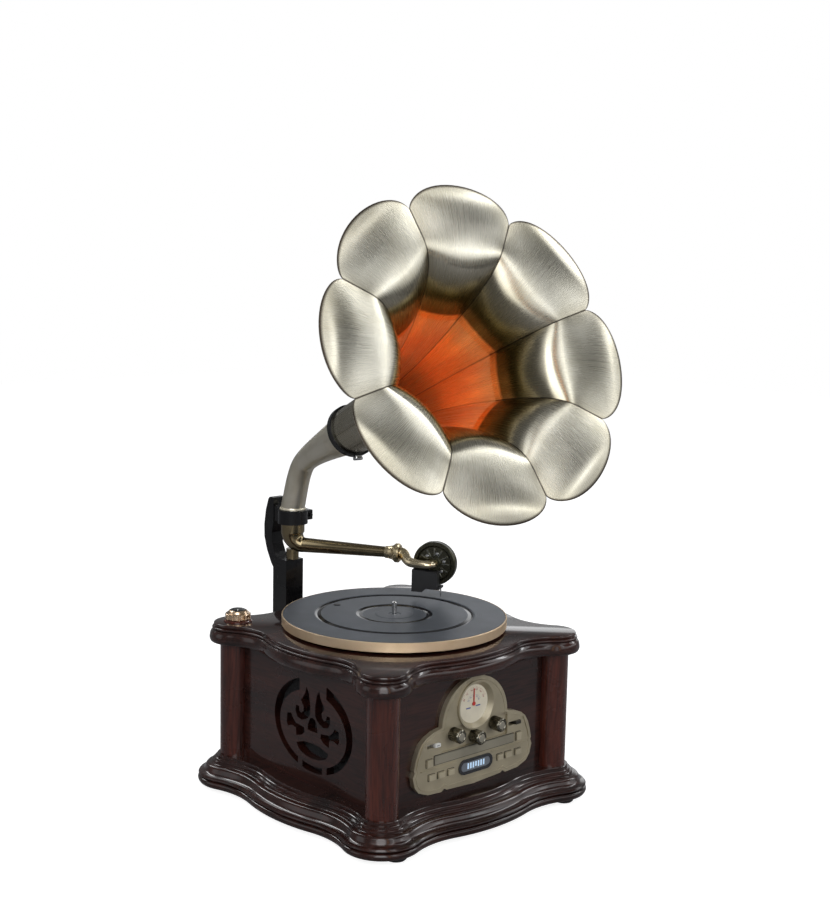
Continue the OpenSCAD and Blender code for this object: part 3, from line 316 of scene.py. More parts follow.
def rounded(profile, steps=5):
    """Curve through profile points; a point with a third entry stays a corner"""
    made = []
    for i, (here, there) in enumerate(zip(profile, profile[1:])):
        a, b = Vector(here[:2]), Vector(there[:2])
        if len(here) == 3 and len(there) == 3:
            made.append(a)
            continue
        before = Vector(profile[i - 1][:2]) if i > 0 and len(here) < 3 else a
        follows = i + 2 < len(profile) and len(there) < 3
        after = Vector(profile[i + 2][:2]) if follows else b
        made += [through(before, a, b, after, k / steps) for k in range(steps)]
    made.append(Vector(profile[-1][:2]))
    return [(p.x, p.y) for p in made]


HALF_CASE = 150.0
QUARTER = math.radians(90)


def arc(centre, r, start, end, steps):
    return [(centre[0] + r * math.cos(start + (end - start) * i / steps),
             centre[1] + r * math.sin(start + (end - start) * i / steps)) for i in range(steps)]


def side_outline(lobe_r, nook, bow, off, side):
    """One side of a moulding: hollow, bow, hollow and the corner lobe, moved out by off"""
    gap = bow - nook[1]
    total = (nook[0] ** 2 + gap * gap) / (2 * gap)
    dx, h = HALF_CASE - nook[0], nook[1] - HALF_CASE
    hollow = (dx * dx + h * h - lobe_r ** 2) / (2 * (lobe_r - h))
    bend = total - hollow
    hollow_c, bow_c, lobe_c = (nook[0], -nook[1] - hollow), (0, bend - bow), (HALF_CASE, -HALF_CASE)
    to_lobe = math.atan2(lobe_c[1] - hollow_c[1], lobe_c[0] - hollow_c[0])
    to_bow = math.atan2(bow_c[1] - hollow_c[1], bow_c[0] - hollow_c[0])
    line = ([(-x, y) for x, y in arc(hollow_c, hollow - off, to_lobe, to_bow, 20)]
            + arc(bow_c, bend + off, -to_bow, to_bow - 2 * QUARTER, 28)
            + arc(hollow_c, hollow - off, to_bow, to_lobe, 20)
            + arc(lobe_c, lobe_r + off, to_lobe - 2 * QUARTER, QUARTER - to_lobe, 44))
    c, s = math.cos(side * QUARTER), math.sin(side * QUARTER)
    return [(x * c - y * s, x * s + y * c) for x, y in line]


def skin(rows, closed=True, capped=True):
    """Points and faces of a surface through rows of points"""
    n = len(rows[0])
    points = [p for row in rows for p in row]
    faces = []
    for k in range(len(rows) - 1):
        for i in range(n if closed else n - 1):
            j = (i + 1) % n
            faces.append((k * n + i, k * n + j, (k + 1) * n + j, (k + 1) * n + i))
    if capped:
        faces.append(tuple(range(n - 1, -1, -1)))
        faces.append(tuple((len(rows) - 1) * n + i for i in range(n)))
    return points, faces


def moulded_board(name, lobe_r, nook, bow, profile):
    """Board with a moulded edge, from the radius of its corner lobes, the place of its
    hollows, the reach of its bows, and pairs of distance out and height up the edge"""
    rows = [[(x, y, z) for side in range(4) for x, y in side_outline(lobe_r, nook, bow, off, side)]
            for off, z in rounded(profile)]
    piece(name + "_lacquered", skin(rows), wood_x, "case", (name,))


C = 1  # marks a point of the profile that stays a sharp corner
moulded_board("plinth", 50.5, (92, 190), 201.5, [
    (-5.5, 7, C), (-2, 8.2), (0, 12), (-0.8, 15.6), (-3.8, 17.4, C), (-1.6, 18.6),
    (-0.7, 20.2), (-2.2, 22.3, C), (-5, 23.2), (-8.6, 25.6), (-10.4, 29.2), (-11.4, 31.4),
    (-13.8, 33.4), (-18.4, 34.4, C), (-19, 34.8, C), (-19, 37.4, C), (-19.6, 38, C),
    (-22.4, 38.2, C), (-22.6, 41.2, C), (-23.2, 41.7, C), (-26, 41.8, C), (-26, 45.4, C),
    (-26.6, 46, C)])
moulded_board("top_board", 35, (88, 163.5), 179, [
    (-11, 201, C), (-3, 202), (-0.8, 204.4), (0, 207), (-0.4, 211.4), (-1.6, 215.4),
    (-4.2, 218.6, C), (-5.6, 219, C), (-3.9, 219.8), (-3.4, 221), (-3.9, 222.2),
    (-6.4, 223.2, C), (-5.5, 225), (-6, 227.2), (-7.4, 228, C)])


# Feet
# Four turned pads of black rubber-faced plastic under the rounded corners, screwed up into
# the plinth's corner blocks.
plastic_skin, given, result = group(
    "plastic_skin",
    [("Color", "Color", (0.05, 0.05, 0.05, 1)), ("Roughness", "Float", 0.4),
     ("Grain", "Float", 0.05)],
    [("Color", "Color"), ("Roughness", "Float"), ("Normal", "Vector")])
t = plastic_skin
fine, dust = noise(t, own_place(t), 900.0, 1.0), noise(t, own_place(t), 30.0, 4.0)
paler = add(t, "VectorMath", {0: given["Color"], "Scale": 1.25}, operation="SCALE").outputs[0]
put_out(t, result, {
    "Color": blended(t, ranged(t, dust, 0.35, 0.75), given["Color"], paler),
    "Roughness": calc(t, "ADD", given["Roughness"], ranged(t, dust, 0.3, 0.7, -0.05, 0.08)),
    "Normal": bumped(t, fine, given["Grain"], 0.0004)})


def plastic(name, colour, roughness, grain=0.05, coat=0.0, metallic=0.0):
    return skinned(
        name, plastic_skin, {"Color": (*colour, 1), "Roughness": roughness, "Grain": grain},
        {"Coat Weight": coat, "Coat Roughness": 0.08, "Metallic": metallic})


black_plastic = plastic("black_plastic", (0.014, 0.014, 0.015), 0.42)
dress("feet", black_plastic)


# Grille cloths and speakers
# Black woven cloth is stretched flat over the inside of each pierced side panel, and a
# paper-coned speaker is screwed behind it.
CLOTH_COLOUR, THREADS = (0.004, 0.004, 0.0045), 260.0
cloth_black, tree = blank_material("black_grille_cloth")
place = own_place(tree)
across, along = [
    add(tree, "TexWave", {"Vector": place, "Scale": THREADS}, bands_direction=way).outputs[1]
    for way in "YZ"]
weave = calc(tree, "MULTIPLY", across, along)
fade = noise(tree, place, 30.0)
paler = tuple(1.8 * c for c in CLOTH_COLOUR)
shade(tree, {
    "Base Color": blended(tree, fade, (*CLOTH_COLOUR, 1), (*paler, 1)),
    "Normal": bumped(tree, weave, 0.5, 0.0004), "Sheen Weight": 0.04,
    "Roughness": ranged(tree, weave, 0, 1, 0.98, 0.8)})
CLOTH_W, CLOTH_H, FRET_Y, FRET_Z = 173, 136, -15, 124
CLOTH_FACES = (137.2, 137.9)
for side, panel in ((-1, "left_panel"), (1, "right_panel")):
    rows = [[(side * x, FRET_Y + y, FRET_Z + z) for y, z in (
        (-CLOTH_W / 2, -CLOTH_H / 2), (CLOTH_W / 2, -CLOTH_H / 2),
        (CLOTH_W / 2, CLOTH_H / 2), (-CLOTH_W / 2, CLOTH_H / 2))] for x in CLOTH_FACES]
    cloth = piece(panel.split("_")[0] + "_grille_cloth", skin(rows), cloth_black, "case",
                  ("grille_cloths",))
dress("speakers", plastic("speaker_paper", (0.02, 0.02, 0.022), 0.85, 0.3))


# Control plate
# Moulded plate in champagne metallic lacquer with a raised border, a black painted-shadow
# line round the disc tray, and a pocket for the knobs. It is screwed on from behind.
champagne = plastic("champagne_lacquer", (0.36, 0.315, 0.22), 0.42, 0.12, coat=0.25, metallic=0.35)
dress("control_fascia", champagne)
FACE_Y = -157


def offset_loop(line, distance):
    """Closed outline moved inward"""
    made = []
    for i, (x, z) in enumerate(line):
        (x0, z0), (x1, z1) = line[i - 1], line[(i + 1) % len(line)]
        before, after = Vector((x - x0, z - z0)).normalized(), Vector((x1 - x, z1 - z)).normalized()
        way = (before + after).normalized()
        stretch = min(1 / max(way.dot(after), 0.4), 1.6)
        made.append((x - way.y * distance * stretch, z + way.x * distance * stretch))
    return made


BEAD = ((0, -0.2), (0.12, 0.75), (0.35, 1), (0.65, 1), (0.88, 0.75), (1, -0.2))


def raised_line(line, inset, width, height):
    """Round-topped bead that runs inside a closed outline on the plate"""
    rows = [[(x, FACE_Y - rise * height, z) for x, z in offset_loop(line, inset + off * width)]
            for off, rise in BEAD]
    return skin(rows + rows[:1], capped=False)


ARCH_R, ARCH_Z = 58, 137
right_side = [(48, 56.5), (52, 59), (57, 55.5), (80, 57), (96, 63), (102.5, 71), (106, 84),
              (103.2, 90.5), (104.6, 93), (102, 104), (98, 116), (92, 125), (84, 131), (72, 136)]
arch = [(ARCH_R * math.cos(math.radians(q)), ARCH_Z + ARCH_R * math.sin(math.radians(q)))
        for q in range(2, 179, 8)]
plate_line = right_side + arch + [(-x, z) for x, z in reversed(right_side)]
piece("plate_border", raised_line(plate_line, 4.2, 1.1, 0.5), champagne, "case")


def corner_loop(left, right, low, high, r, steps=5):
    """Rounded rectangle, counter-clockwise seen from the front"""
    line = []
    for x, z, start in ((right - r, low + r, -90), (right - r, high - r, 0),
                        (left + r, high - r, 90), (left + r, low + r, 180)):
        for k in range(steps + 1):
            q = math.radians(start + 90 * k / steps)
            line.append((x + r * math.cos(q), z + r * math.sin(q)))
    return line


# Painted shadow: a thin black raised line round the tray opening stands in for the shade in its
# gap.
tray_shadow_loop = corner_loop(-71.6, 71.6, 92.9, 106.1, 1.2)
piece("tray_gasket", raised_line(tray_shadow_loop, 0, 0.8, 0.25), black_plastic, "case")
tray_lacquer = plastic("tray_lacquer", (0.30, 0.275, 0.21), 0.38, 0.08, coat=0.3, metallic=0.4)
dress("disc_tray", tray_lacquer)


# Round dial
# Cream card printed with two scales behind the bezel, and a red pointer on the spindle of
# the tuning knob's cord.
dress("dial_face", plastic("dial_card", (0.74, 0.68, 0.54), 0.5, 0.1, coat=0.6))
dress("dial_pointer", plastic("pointer_red", (0.55, 0.03, 0.02), 0.35, 0.05, coat=0.4))
DIAL_Z, CARD_Y = 158, -153.0


def block(x, y, z, bevel=0.3):
    """Points and faces of a box with eased edges, from its extents"""
    rows = []
    for level, inset in ((z[0], bevel), (z[0] + bevel, 0), (z[1] - bevel, 0), (z[1], bevel)):
        a, b, c, d = x[0] + inset, x[1] - inset, y[0] + inset, y[1] - inset
        rows.append([
            (a + bevel, c, level), (b - bevel, c, level), (b, c + bevel, level),
            (b, d - bevel, level), (b - bevel, d, level), (a + bevel, d, level),
            (a, d - bevel, level), (a, c + bevel, level)])
    return skin(rows)


def joined(parts):
    points, faces = [], []
    for some, sides in parts:
        start = len(points)
        points += some
        faces += [tuple(start + i for i in side) for side in sides]
    return points, faces


def placed(shape, matrix):
    points, faces = shape
    return [tuple(matrix @ Vector(p)) for p in points], faces


def digits(words, size, r, degrees):
    """Printed figures as a thin solid on the card, at a radius and a turn from the top"""
    line = bpy.data.curves.new("figures", "FONT")
    line.body, line.size, line.extrude = words, size, 0.03
    line.align_x, line.align_y = "CENTER", "CENTER"
    holder = bpy.data.objects.new("figures", line)
    bpy.context.scene.collection.objects.link(holder)
    mesh = bpy.data.meshes.new_from_object(holder)
    q = math.radians(degrees)
    matrix = (moved(r * math.sin(q), CARD_Y - 0.05, DIAL_Z + r * math.cos(q))
              @ turned(degrees, "Y") @ turned(90, "X"))
    shape = placed(([v.co for v in mesh.vertices], [tuple(p.vertices) for p in mesh.polygons]),
                   matrix)
    bpy.data.objects.remove(holder)
    bpy.data.curves.remove(line)
    return shape


STROKE_W, SCALE_END = 0.25, 66


def scale_marks(r, long, short, count):
    """Radial strokes of a scale, every fifth one long"""
    marks = []
    for i in range(count):
        bar = block((-STROKE_W / 2, STROKE_W / 2), (CARD_Y - 0.1, CARD_Y + 0.02),
                    (r, r + (short if i % 5 else long)), 0.01)
        degrees = -SCALE_END + 2 * SCALE_END * i / (count - 1)
        marks.append(placed(bar, moved(0, 0, DIAL_Z) @ turned(degrees, "Y")))
    return marks


figures_red = plastic("print_red", (0.36, 0.07, 0.04), 0.5)
figures_blue = plastic("print_blue", (0.06, 0.09, 0.30), 0.5)
high_scale = scale_marks(20.6, 2.2, 1.3, 26)
low_scale = scale_marks(11.6, 1.6, 0.9, 21)
for i, words in enumerate(("88", "92", "96", "100", "104", "108")):
    high_scale.append(digits(words, 3.4, 18.4, -SCALE_END + 26.4 * i))
for i, words in enumerate(("53", "70", "100", "130", "160")):
    low_scale.append(digits(words, 2.6, 9.8, -60 + 30 * i))
for left, low in ((-13, -5.4), (4, -4.4)):
    low_scale.append(block((left, left + 8), (CARD_Y - 0.1, CARD_Y),
                           (DIAL_Z + low, DIAL_Z + low + 1.6), 0.04))
piece("dial_scale_high", joined(high_scale), figures_red, "case")
piece("dial_scale_low", joined(low_scale), figures_blue, "case")


# Knobs, switches and keys
# The three turning knobs are plated plastic, dark and fluted with a bright spun face. The
# slide switches and the push keys are plain mouldings in white, bronze and champagne, and a
# thin black line painted round each key stands for the shadow in its gap.
metal_skin, given, result = group(
    "metal_skin",
    [("Color", "Color", (0.5, 0.5, 0.5, 1)), ("Tarnish", "Color", (0.2, 0.2, 0.2, 1)),
     ("Roughness", "Float", 0.3), ("Scratches", "Float", 0.05)],
    [("Color", "Color"), ("Roughness", "Float"), ("Normal", "Vector")])
t = metal_skin
cloud, fine = noise(t, own_place(t), 22.0, 5.0), noise(t, own_place(t), 650.0)
grit = calc(t, "ADD", ranged(t, cloud, 0.3, 0.7, -0.05, 0.09),
            ranged(t, fine, 0.3, 0.7, -0.04, 0.04))
put_out(t, result, {
    "Color": blended(t, ranged(t, cloud, 0.42, 0.75), given["Color"], given["Tarnish"]),
    "Roughness": calc(t, "ADD", given["Roughness"], grit),
    "Normal": bumped(t, fine, given["Scratches"], 0.0003)})


def metal(name, colour, darkening, roughness, scratches=0.05, coat=0.0):
    return skinned(name, metal_skin, {
        "Color": (*colour, 1), "Tarnish": (*darkening, 1), "Roughness": roughness,
        "Scratches": scratches}, {"Metallic": 1.0, "Coat Weight": coat})


def lathe(profile, around=72):
    """Points and faces of a turned piece from pairs of radius and height on its axis"""
    turns = [2 * math.pi * i / around for i in range(around)]
    return skin([[(r * math.cos(q), r * math.sin(q), z) for q in turns] for r, z in profile])


smoky = metal("smoky_plating", (0.16, 0.15, 0.12), (0.07, 0.065, 0.05), 0.22)
spun = metal("spun_face", (0.62, 0.58, 0.47), (0.45, 0.42, 0.34), 0.2)
pale_keys = plastic("pale_keys", (0.43, 0.38, 0.27), 0.36, 0.06, coat=0.3, metallic=0.2)
lever_white = plastic("white_lever", (0.72, 0.72, 0.70), 0.4)
KNOB_Y = -154.35
knob_cap = lathe([(5.3, 15.0), (5.3, 15.5), (4.9, 15.8), (3.0, 15.95), (0.6, 16)], 48)
KNOBS = [("volume_knob", -36, 126), ("function_knob", 0, 116.5), ("tuning_knob", 36, 126)]
for name, x, z in KNOBS:
    dress(name, smoky)
    cap = placed(knob_cap, moved(x, KNOB_Y, z) @ turned(90, "X"))
    piece(name + "_face", cap, spun, name)
dress("band_switch", lever_white)
dress("mode_switch", plastic("bronze_lever", (0.05, 0.045, 0.04), 0.3, metallic=0.6))
lever_line = block((-69.5, -64.5), (-160.2, -159.9), (118.4, 119.2), 0.1)
piece("band_switch_line", lever_line, black_plastic, "band_switch")
KEYS = [(-79.5, 98, 9, 9), (79, 100, 8, 10), (-75, 79, 10, 7), (-59, 79, 10, 7),
        (-42, 79, 10, 7), (45.5, 79, 9, 7), (61, 79, 11, 7), (79, 79, 10, 7)]
# Painted shadow: a thin black raised line round each key stands in for the shade in the gap between
# key and plate.
KEY_SHADOW_ROOM = 1.15
key_shadow_loops = []
for k, (x, z, w, h) in enumerate(KEYS, 1):
    dress(f"key_{k}", pale_keys)
    key_shadow_loop = corner_loop(x - w / 2 - KEY_SHADOW_ROOM, x + w / 2 + KEY_SHADOW_ROOM,
                       z - h / 2 - KEY_SHADOW_ROOM, z + h / 2 + KEY_SHADOW_ROOM, 0.9, 3)
    key_shadow_loops.append(raised_line(key_shadow_loop, 0, 0.75, 0.2))
piece("key_seats", joined(key_shadow_loops), black_plastic, "case")


# Display
# Oval black ring with a tinted acrylic window, let into the control plate. The bars behind
# the window glow a pale blue.
bezel_black = plastic("bezel_black", (0.016, 0.017, 0.02), 0.22, 0.02, coat=0.6)
dress("display_bezel", bezel_black)
window_material, tree = blank_material("tinted_window")
haze = add(tree, "TexNoise", {"Scale": 60.0, "Detail": 3.0}).outputs[0]
shade(tree, {
    "Base Color": blended(tree, haze, (0.13, 0.15, 0.18, 1), (0.19, 0.215, 0.25, 1)),
    "Roughness": ranged(tree, haze, 0.3, 0.7, 0.12, 0.2), "Coat Weight": 1.0,
    "Coat Roughness": 0.05})
dress("display_window", window_material)
lit_bars, tree = blank_material("lit_segments")
flicker = add(tree, "TexNoise", {"Scale": 240.0, "Detail": 2.0}).outputs[0]
shade(tree, {
    "Base Color": (0.35, 0.5, 0.7, 1), "Roughness": 0.4, "Emission Strength": 0.6,
    "Emission Color": blended(tree, flicker, (0.42, 0.60, 0.78, 1), (0.60, 0.76, 0.90, 1))})
BARS, SHORT_BAR, BAR_W, BAR_PITCH, BAR_TOP = 7, 3, 2.6, 4.6, 82.8
bars = []
for i in range(BARS):
    x = -12.5 + BAR_PITCH * i
    low = 76.4 if i == SHORT_BAR else 75.2
    bars.append(block((x, x + BAR_W), (FACE_Y - 0.72, FACE_Y - 0.55), (low, BAR_TOP), 0.05))
piece("display_bars", joined(bars), lit_bars, "case")


# Disc drive, boards, transformer and rear sockets
# Inside the case are a galvanised drive case, two printed boards and a laminated
# transformer. The black socket plate is let into the rear panel.
galvanised = metal("galvanised_sheet", (0.55, 0.56, 0.57), (0.38, 0.39, 0.40), 0.42, 0.2)
dress("disc_drive", galvanised)
dress("transformer", metal("transformer_steel", (0.25, 0.24, 0.23), (0.14, 0.11, 0.09), 0.5, 0.2))
dress("circuit_boards", plastic("board_green", (0.02, 0.13, 0.06), 0.35, 0.2, coat=0.4))
dress("rear_terminals", black_plastic)


# Speed knob
# Cast knob with a segmented brass band and a dark top disc with a pale arrow, on a turned
# wooden ring.
brass_band = metal("polished_brass_band", (0.92, 0.70, 0.50), (0.60, 0.42, 0.27), 0.2)
knob_top = metal("knob_top", (0.10, 0.10, 0.10), (0.05, 0.05, 0.05), 0.25)
dress("speed_knob_base", wood_z)
dress("speed_knob", brass_band)
speed_seat = moved(-148, 148, 231.35)
top = lathe([(10.4, 11.7), (10.4, 12.3), (9.8, 12.7), (6, 12.9), (0.5, 12.9)], 60)
piece("speed_knob_top", placed(top, speed_seat), knob_top, "speed_knob")
arrow = block((-0.6, 0.6), (-8.6, -2), (12.8, 13.1), 0.1)
piece("speed_knob_mark", placed(arrow, speed_seat @ turned(-40, "Z")), lever_white,
      "speed_knob")


# Platter, mat and spindle
# Cast platter with a satin brass rim, driven by a belt from a motor below. The slate rubber
# mat has fine grooves, a glossy black ring and a stepped middle, and the steel spindle
# stands through it.
dress("platter", metal("satin_brass", (0.86, 0.67, 0.46), (0.74, 0.56, 0.36), 0.5, 0.15))
mat_material, tree = blank_material("slate_rubber")
place = own_place(tree)
flat = calc(tree, "MULTIPLY", place, (1, 1, 0), kind="VectorMath")
radius = add(tree, "VectorMath", {0: flat}, operation="LENGTH").outputs[1]
GLOSS_RING, STEP_RING, GROOVES = (0.0975, 0.1055), (0.0425, 0.0510), 2600.0
rings = calc(tree, "MAXIMUM", band(tree, radius, *GLOSS_RING), band(tree, radius, *STEP_RING))
dust = noise(tree, place, 35.0, 5.0)
slate = blended(tree, ranged(tree, dust, 0.35, 0.7), (0.050, 0.058, 0.070, 1),
                (0.070, 0.079, 0.095, 1))
ripple = calc(tree, "SINE", calc(tree, "MULTIPLY", radius, GROOVES))
ripple = calc(tree, "MULTIPLY", ripple, ranged(tree, rings, 0, 1, 1, 0))
shade(tree, {
    "Base Color": blended(tree, rings, slate, (0.008, 0.008, 0.009, 1)),
    "Normal": bumped(tree, ripple, 0.12, 0.0004),
    "Roughness": ranged(tree, rings, 0, 1, 0.42, 0.12)})
dress("platter_mat", mat_material)
steel = metal("polished_steel", (0.60, 0.60, 0.60), (0.42, 0.42, 0.42), 0.16)
dress("spindle", steel)
mark = lathe([(5.0, 244.7), (5.0, 245.15), (4.6, 245.3), (2.2, 245.3), (1.9, 245.1)], 40)
piece("mat_mark", placed(mark, moved(-30, 83, 0)), black_plastic, "platter")
dress("motor", galvanised)
dress("motor_pulley", brass_band)
dress("drive_belt", black_plastic)


# Bracket and collar
# Cast iron painted gloss black: a wall plate bolted to the case, a square post, and a
# curved arm up to the split collar that holds both upright pipes.
paint_material, tree = blank_material("black_enamel")
place = own_place(tree)
cast, chips = noise(tree, place, 90.0, 3.0), noise(tree, place, 14.0, 6.0)
shade(tree, {
    "Base Color": blended(tree, ranged(tree, chips, 0.5, 0.8), (0.003, 0.003, 0.0035, 1),
                          (0.014, 0.013, 0.012, 1)),
    "Roughness": ranged(tree, chips, 0.3, 0.7, 0.2, 0.34),
    "Normal": bumped(tree, cast, 0.18, 0.001), "Specular IOR Level": 0.25,
    "Coat Weight": 0.35, "Coat Roughness": 0.08})
dress("bracket", paint_material)
dress("collar_clamp", paint_material)
PLATE_BACK = 156.8
bolt_head = lathe([(4.6, 0), (4.6, 2.6), (4.1, 3.1), (0.5, 3.2)], 6)
bolts = [placed(bolt_head, moved(x, PLATE_BACK, z) @ turned(-90, "X"))
         for x in (-26, 26) for z in (127, 183)]
piece("bracket_bolts", joined(bolts), steel, "case", crease=20)


# Tonearm
# Bent and tapered brass tube under dark lacquer. It turns on the pin of the post, inside
# the collar, and ends in a flared sleeve.
arm = moved(0, 220, 0) @ turned(29.9, "Z")
dark_brass = metal("lacquered_brass", (0.26, 0.205, 0.115), (0.15, 0.115, 0.06), 0.16, 0.04,
                   coat=0.4)
bright_brass = metal("bright_brass", (0.86, 0.74, 0.52), (0.62, 0.50, 0.30), 0.18, 0.04)
TUBE_Z, TUBE_L, ELBOW_R, PIPE_R, ROOT_R, TUBE_TAPER = 302.5, 141, 18, 17, 10.5, 3
ELBOW_STEPS = 18


def ring(centre, along, side, r, n=44):
    """Points round a path"""
    u, s = along.cross(side).normalized(), side.normalized()
    return [tuple(centre + r * (math.cos(q) * s + math.sin(q) * u)) for q in
            (2 * math.pi * i / n for i in range(n))]


X, UP = Vector((1, 0, 0)), Vector((0, 0, 1))
rows = [ring(Vector((0, 0, z)), -UP, X, r)
        for z, r in ((342.6, 16.6), (342.2, PIPE_R), (TUBE_Z + ELBOW_R, PIPE_R))]
for i in range(1, ELBOW_STEPS + 1):
    q = math.radians(90 * i / ELBOW_STEPS)
    centre = Vector((0, ELBOW_R * (math.cos(q) - 1), TUBE_Z + ELBOW_R - ELBOW_R * math.sin(q)))
    rows.append(ring(centre, Vector((0, -math.sin(q), -math.cos(q))), X,
                     PIPE_R + (ROOT_R - PIPE_R) * i / ELBOW_STEPS))
for y in (60, 100, TUBE_L):
    rows.append(ring(Vector((0, -y, TUBE_Z)), Vector((0, -1, 0)), X,
                     ROOT_R - TUBE_TAPER * (y - ELBOW_R) / (TUBE_L - ELBOW_R)))
boss = lathe([(8.6, 280.9), (9, 281.3), (9, 296)], 48)
arm_tube = placed(joined([skin(rows), boss]), arm)
piece("tonearm_tube", arm_tube, dark_brass, "tonearm", ("tonearm",))
dress("arm_ferrule", bright_brass)


# Soundbox and pickup
# The gooseneck carries a round soundbox whose clamped face has radial fingers and a circle
# of screws. The black pickup carrier beside it holds the needle.
def bend_point(guides, t):
    """Point at share t of a bend, from its two ends and the two guides between them"""
    s = 1 - t
    a, b, c, d = guides
    return a * s ** 3 + 3 * b * t * s * s + 3 * c * t * t * s + d * t ** 3


BOX_L, BOX_R, BOX_Z = 213.3, 30.5, 292.8
START_Y, RIM_Y, LOW_Z = -163, BOX_R - BOX_L, BOX_Z + 0.5
GOOSE_ROOT_R, GOOSE_TIP_R, BENDS = 8.5, 5.6, 18
beside = Vector((-13.5, RIM_Y, LOW_Z))
first = [Vector((0, START_Y, TUBE_Z)), Vector((0, START_Y - 8, TUBE_Z)),
         Vector((0.6 * beside.x, 0.6 * START_Y + 0.4 * RIM_Y, LOW_Z + 1)), beside]
second = [beside, beside + Vector((-3, -13, -1)), Vector((-18, 1 - BOX_L, LOW_Z - 1)),
          Vector((-8, -BOX_L, BOX_Z))]
path = ([bend_point(first, i / BENDS) for i in range(BENDS + 1)]
        + [bend_point(second, i / BENDS) for i in range(1, BENDS + 1)])
rows, last = [], len(path) - 1
for i, centre in enumerate(path):
    along = (path[min(i + 1, last)] - path[max(i - 1, 0)]).normalized()
    if i in (0, last):
        along = X if i else Vector((0, -1, 0))
    r = GOOSE_ROOT_R + (GOOSE_TIP_R - GOOSE_ROOT_R) * (i / last) ** 0.6
    rows.append(ring(centre, along, along.cross(UP), r, 36))
spigot = placed(lathe([(6, 0), (6, 17)], 36), moved(0, -146.5, TUBE_Z) @ turned(90, "X"))
gooseneck = placed(joined([skin(rows), spigot]), arm)
piece("gooseneck_tube", gooseneck, bright_brass, "soundbox", ("gooseneck",))

dark_bronze = metal("olive_bronze", (0.075, 0.072, 0.045), (0.035, 0.033, 0.022), 0.28, 0.1,
                    coat=0.4)
finger_steel = metal("finger_steel", (0.26, 0.26, 0.22), (0.12, 0.12, 0.09), 0.2)
dress("soundbox", dark_bronze)
face = arm @ moved(0, -BOX_L, BOX_Z) @ turned(90, "Y")
finger = block((10.5, 21.8), (-1.1, 1.1), (-5.4, -4.3), 0.3)
fingers = joined([placed(finger, turned(30 * i, "Z")) for i in range(12)])
piece("soundbox_fingers", placed(fingers, face), finger_steel, "soundbox")
head = lathe([(2.4, -4.4), (2.4, -5.6), (1.9, -6.1), (0.4, -6.2)], 20)
screws = joined([placed(head, turned(60 * i + 15, "Z") @ moved(14.5, 0, 0)) for i in range(6)])
piece("soundbox_screws", placed(screws, face), steel, "soundbox")
dress("headshell", black_plastic)
dress("stylus", steel)


# Neck of the horn
# Curved and flared tube in pale brass. It turns in the collar on its upright pipe, and a
# black ring with a steel screw clamps the horn on its far end.
horn = moved(0, 220, 0) @ turned(-8.8, "Z")
TILT = 24.5
NECK_Z, NECK_END = 357, Vector((0, -162.5, 486.5))
WAIST_R, NECK_R, SHEET, AROUND = 16, 31, 1.4, 56
bell_way = Vector((0, -math.cos(math.radians(TILT)), math.sin(math.radians(TILT))))
low_part = [Vector((0, y, NECK_Z + z)) for y, z in ((0, 0), (-8, 18), (-14, 53), (-34, 69))]
high_part = [low_part[3], low_part[3] + Vector((0, -22, 17.6)), NECK_END - 50 * bell_way, NECK_END]


def neck_point(t):
    return bend_point(low_part, t) if t < 1 else bend_point(high_part, t - 1)


def neck_ring(t, inner=0):
    """Points round the neck, t from 0 at the collar to 2 at the horn"""
    way = (neck_point(min(t + 0.01, 2)) - neck_point(max(t - 0.01, 0))).normalized()
    if t in (0, 2):
        way = bell_way if t else UP
    flare = WAIST_R + (NECK_R - WAIST_R) * max(t - 1, 0) ** 1.6
    r = PIPE_R + (WAIST_R - PIPE_R) * t if t < 1 else flare
    return ring(neck_point(t), way, X, r - inner, AROUND)


rows = [ring(Vector((0, 0, z)), UP, X, r, AROUND) for z, r in (
    (343.4, 16.6), (343.8, 17), (353.4, 17), (353.4, 19), (354.8, 19), (355.2, 18),
    (356.4, 17.6), (356.6, 17))]
rows += [neck_ring(i / 24) for i in range(49)]
rows += [neck_ring(2 - 0.7 * i / 16, SHEET) for i in range(17)]
neck_brass = metal("pale_neck_brass", (0.86, 0.81, 0.68), (0.70, 0.64, 0.50), 0.40, 0.05)
piece("neck_tube", placed(skin(rows), horn), neck_brass, "horn", ("horn_neck",))
dress("neck_ring", paint_material)
bell = horn @ Matrix.Translation(NECK_END) @ turned(90 - TILT, "X")
screw = lathe([(2.6, -6), (2.6, 6), (2.2, 6.6), (0.4, 6.8)], 24)
lug = block((-4, 4), (-39.5, -34.5), (-8.5, -1.5), 0.5)
clamp = joined([placed(screw, moved(0, -38.2, -5) @ turned(90, "Y")), lug])
piece("ring_screw", placed(clamp, bell), steel, "horn")


# Horn
# Fluted throat and eight petals of plated sheet, pressed to a cushion shape, soldered in
# valleys and beaded at the rim. The throat is lacquered copper inside.
PETALS, FIRST_PETAL, STEP = 8, 83, 45
HALF_PETAL = math.radians(STEP / 2)
MOUTH_R, HORN_L, TIP_R, TIP_SHARE = 185, 300, 211, 1.266
NECK_ROW, FLARE_ROW, FIXED_ROW, NOTCH_ROW, TIP_ROW = 6, 8, 12, 14, 16
seam = [(0, 0), (0.2, 0.013), (0.333, 0.036), (0.467, 0.091), (0.567, 0.153), (0.667, 0.227),
        (0.75, 0.305), (0.827, 0.377), (0.883, 0.448), (0.933, 0.52), (0.967, 0.59), (0.99, 0.67),
        (1, 0.76), (1, 0.88), (1, 1), (0.998, 1.13), (0.99, TIP_SHARE)]
TIP_PUSH = TIP_R - (NECK_R + (MOUTH_R - NECK_R) * TIP_SHARE) * math.cos(HALF_PETAL)
crown = [(0, 2.36), (0, 1.6), (0, 0.8), (0, 0), (0, -1), (1, -3), (2, -4), (3, -5), (4, -6),
         (4, -6), (3.5, -6), (3, -4), (4, -2), (7.5, 0), (9.5, 1), (9.5, 1.6), (7, TIP_PUSH)]


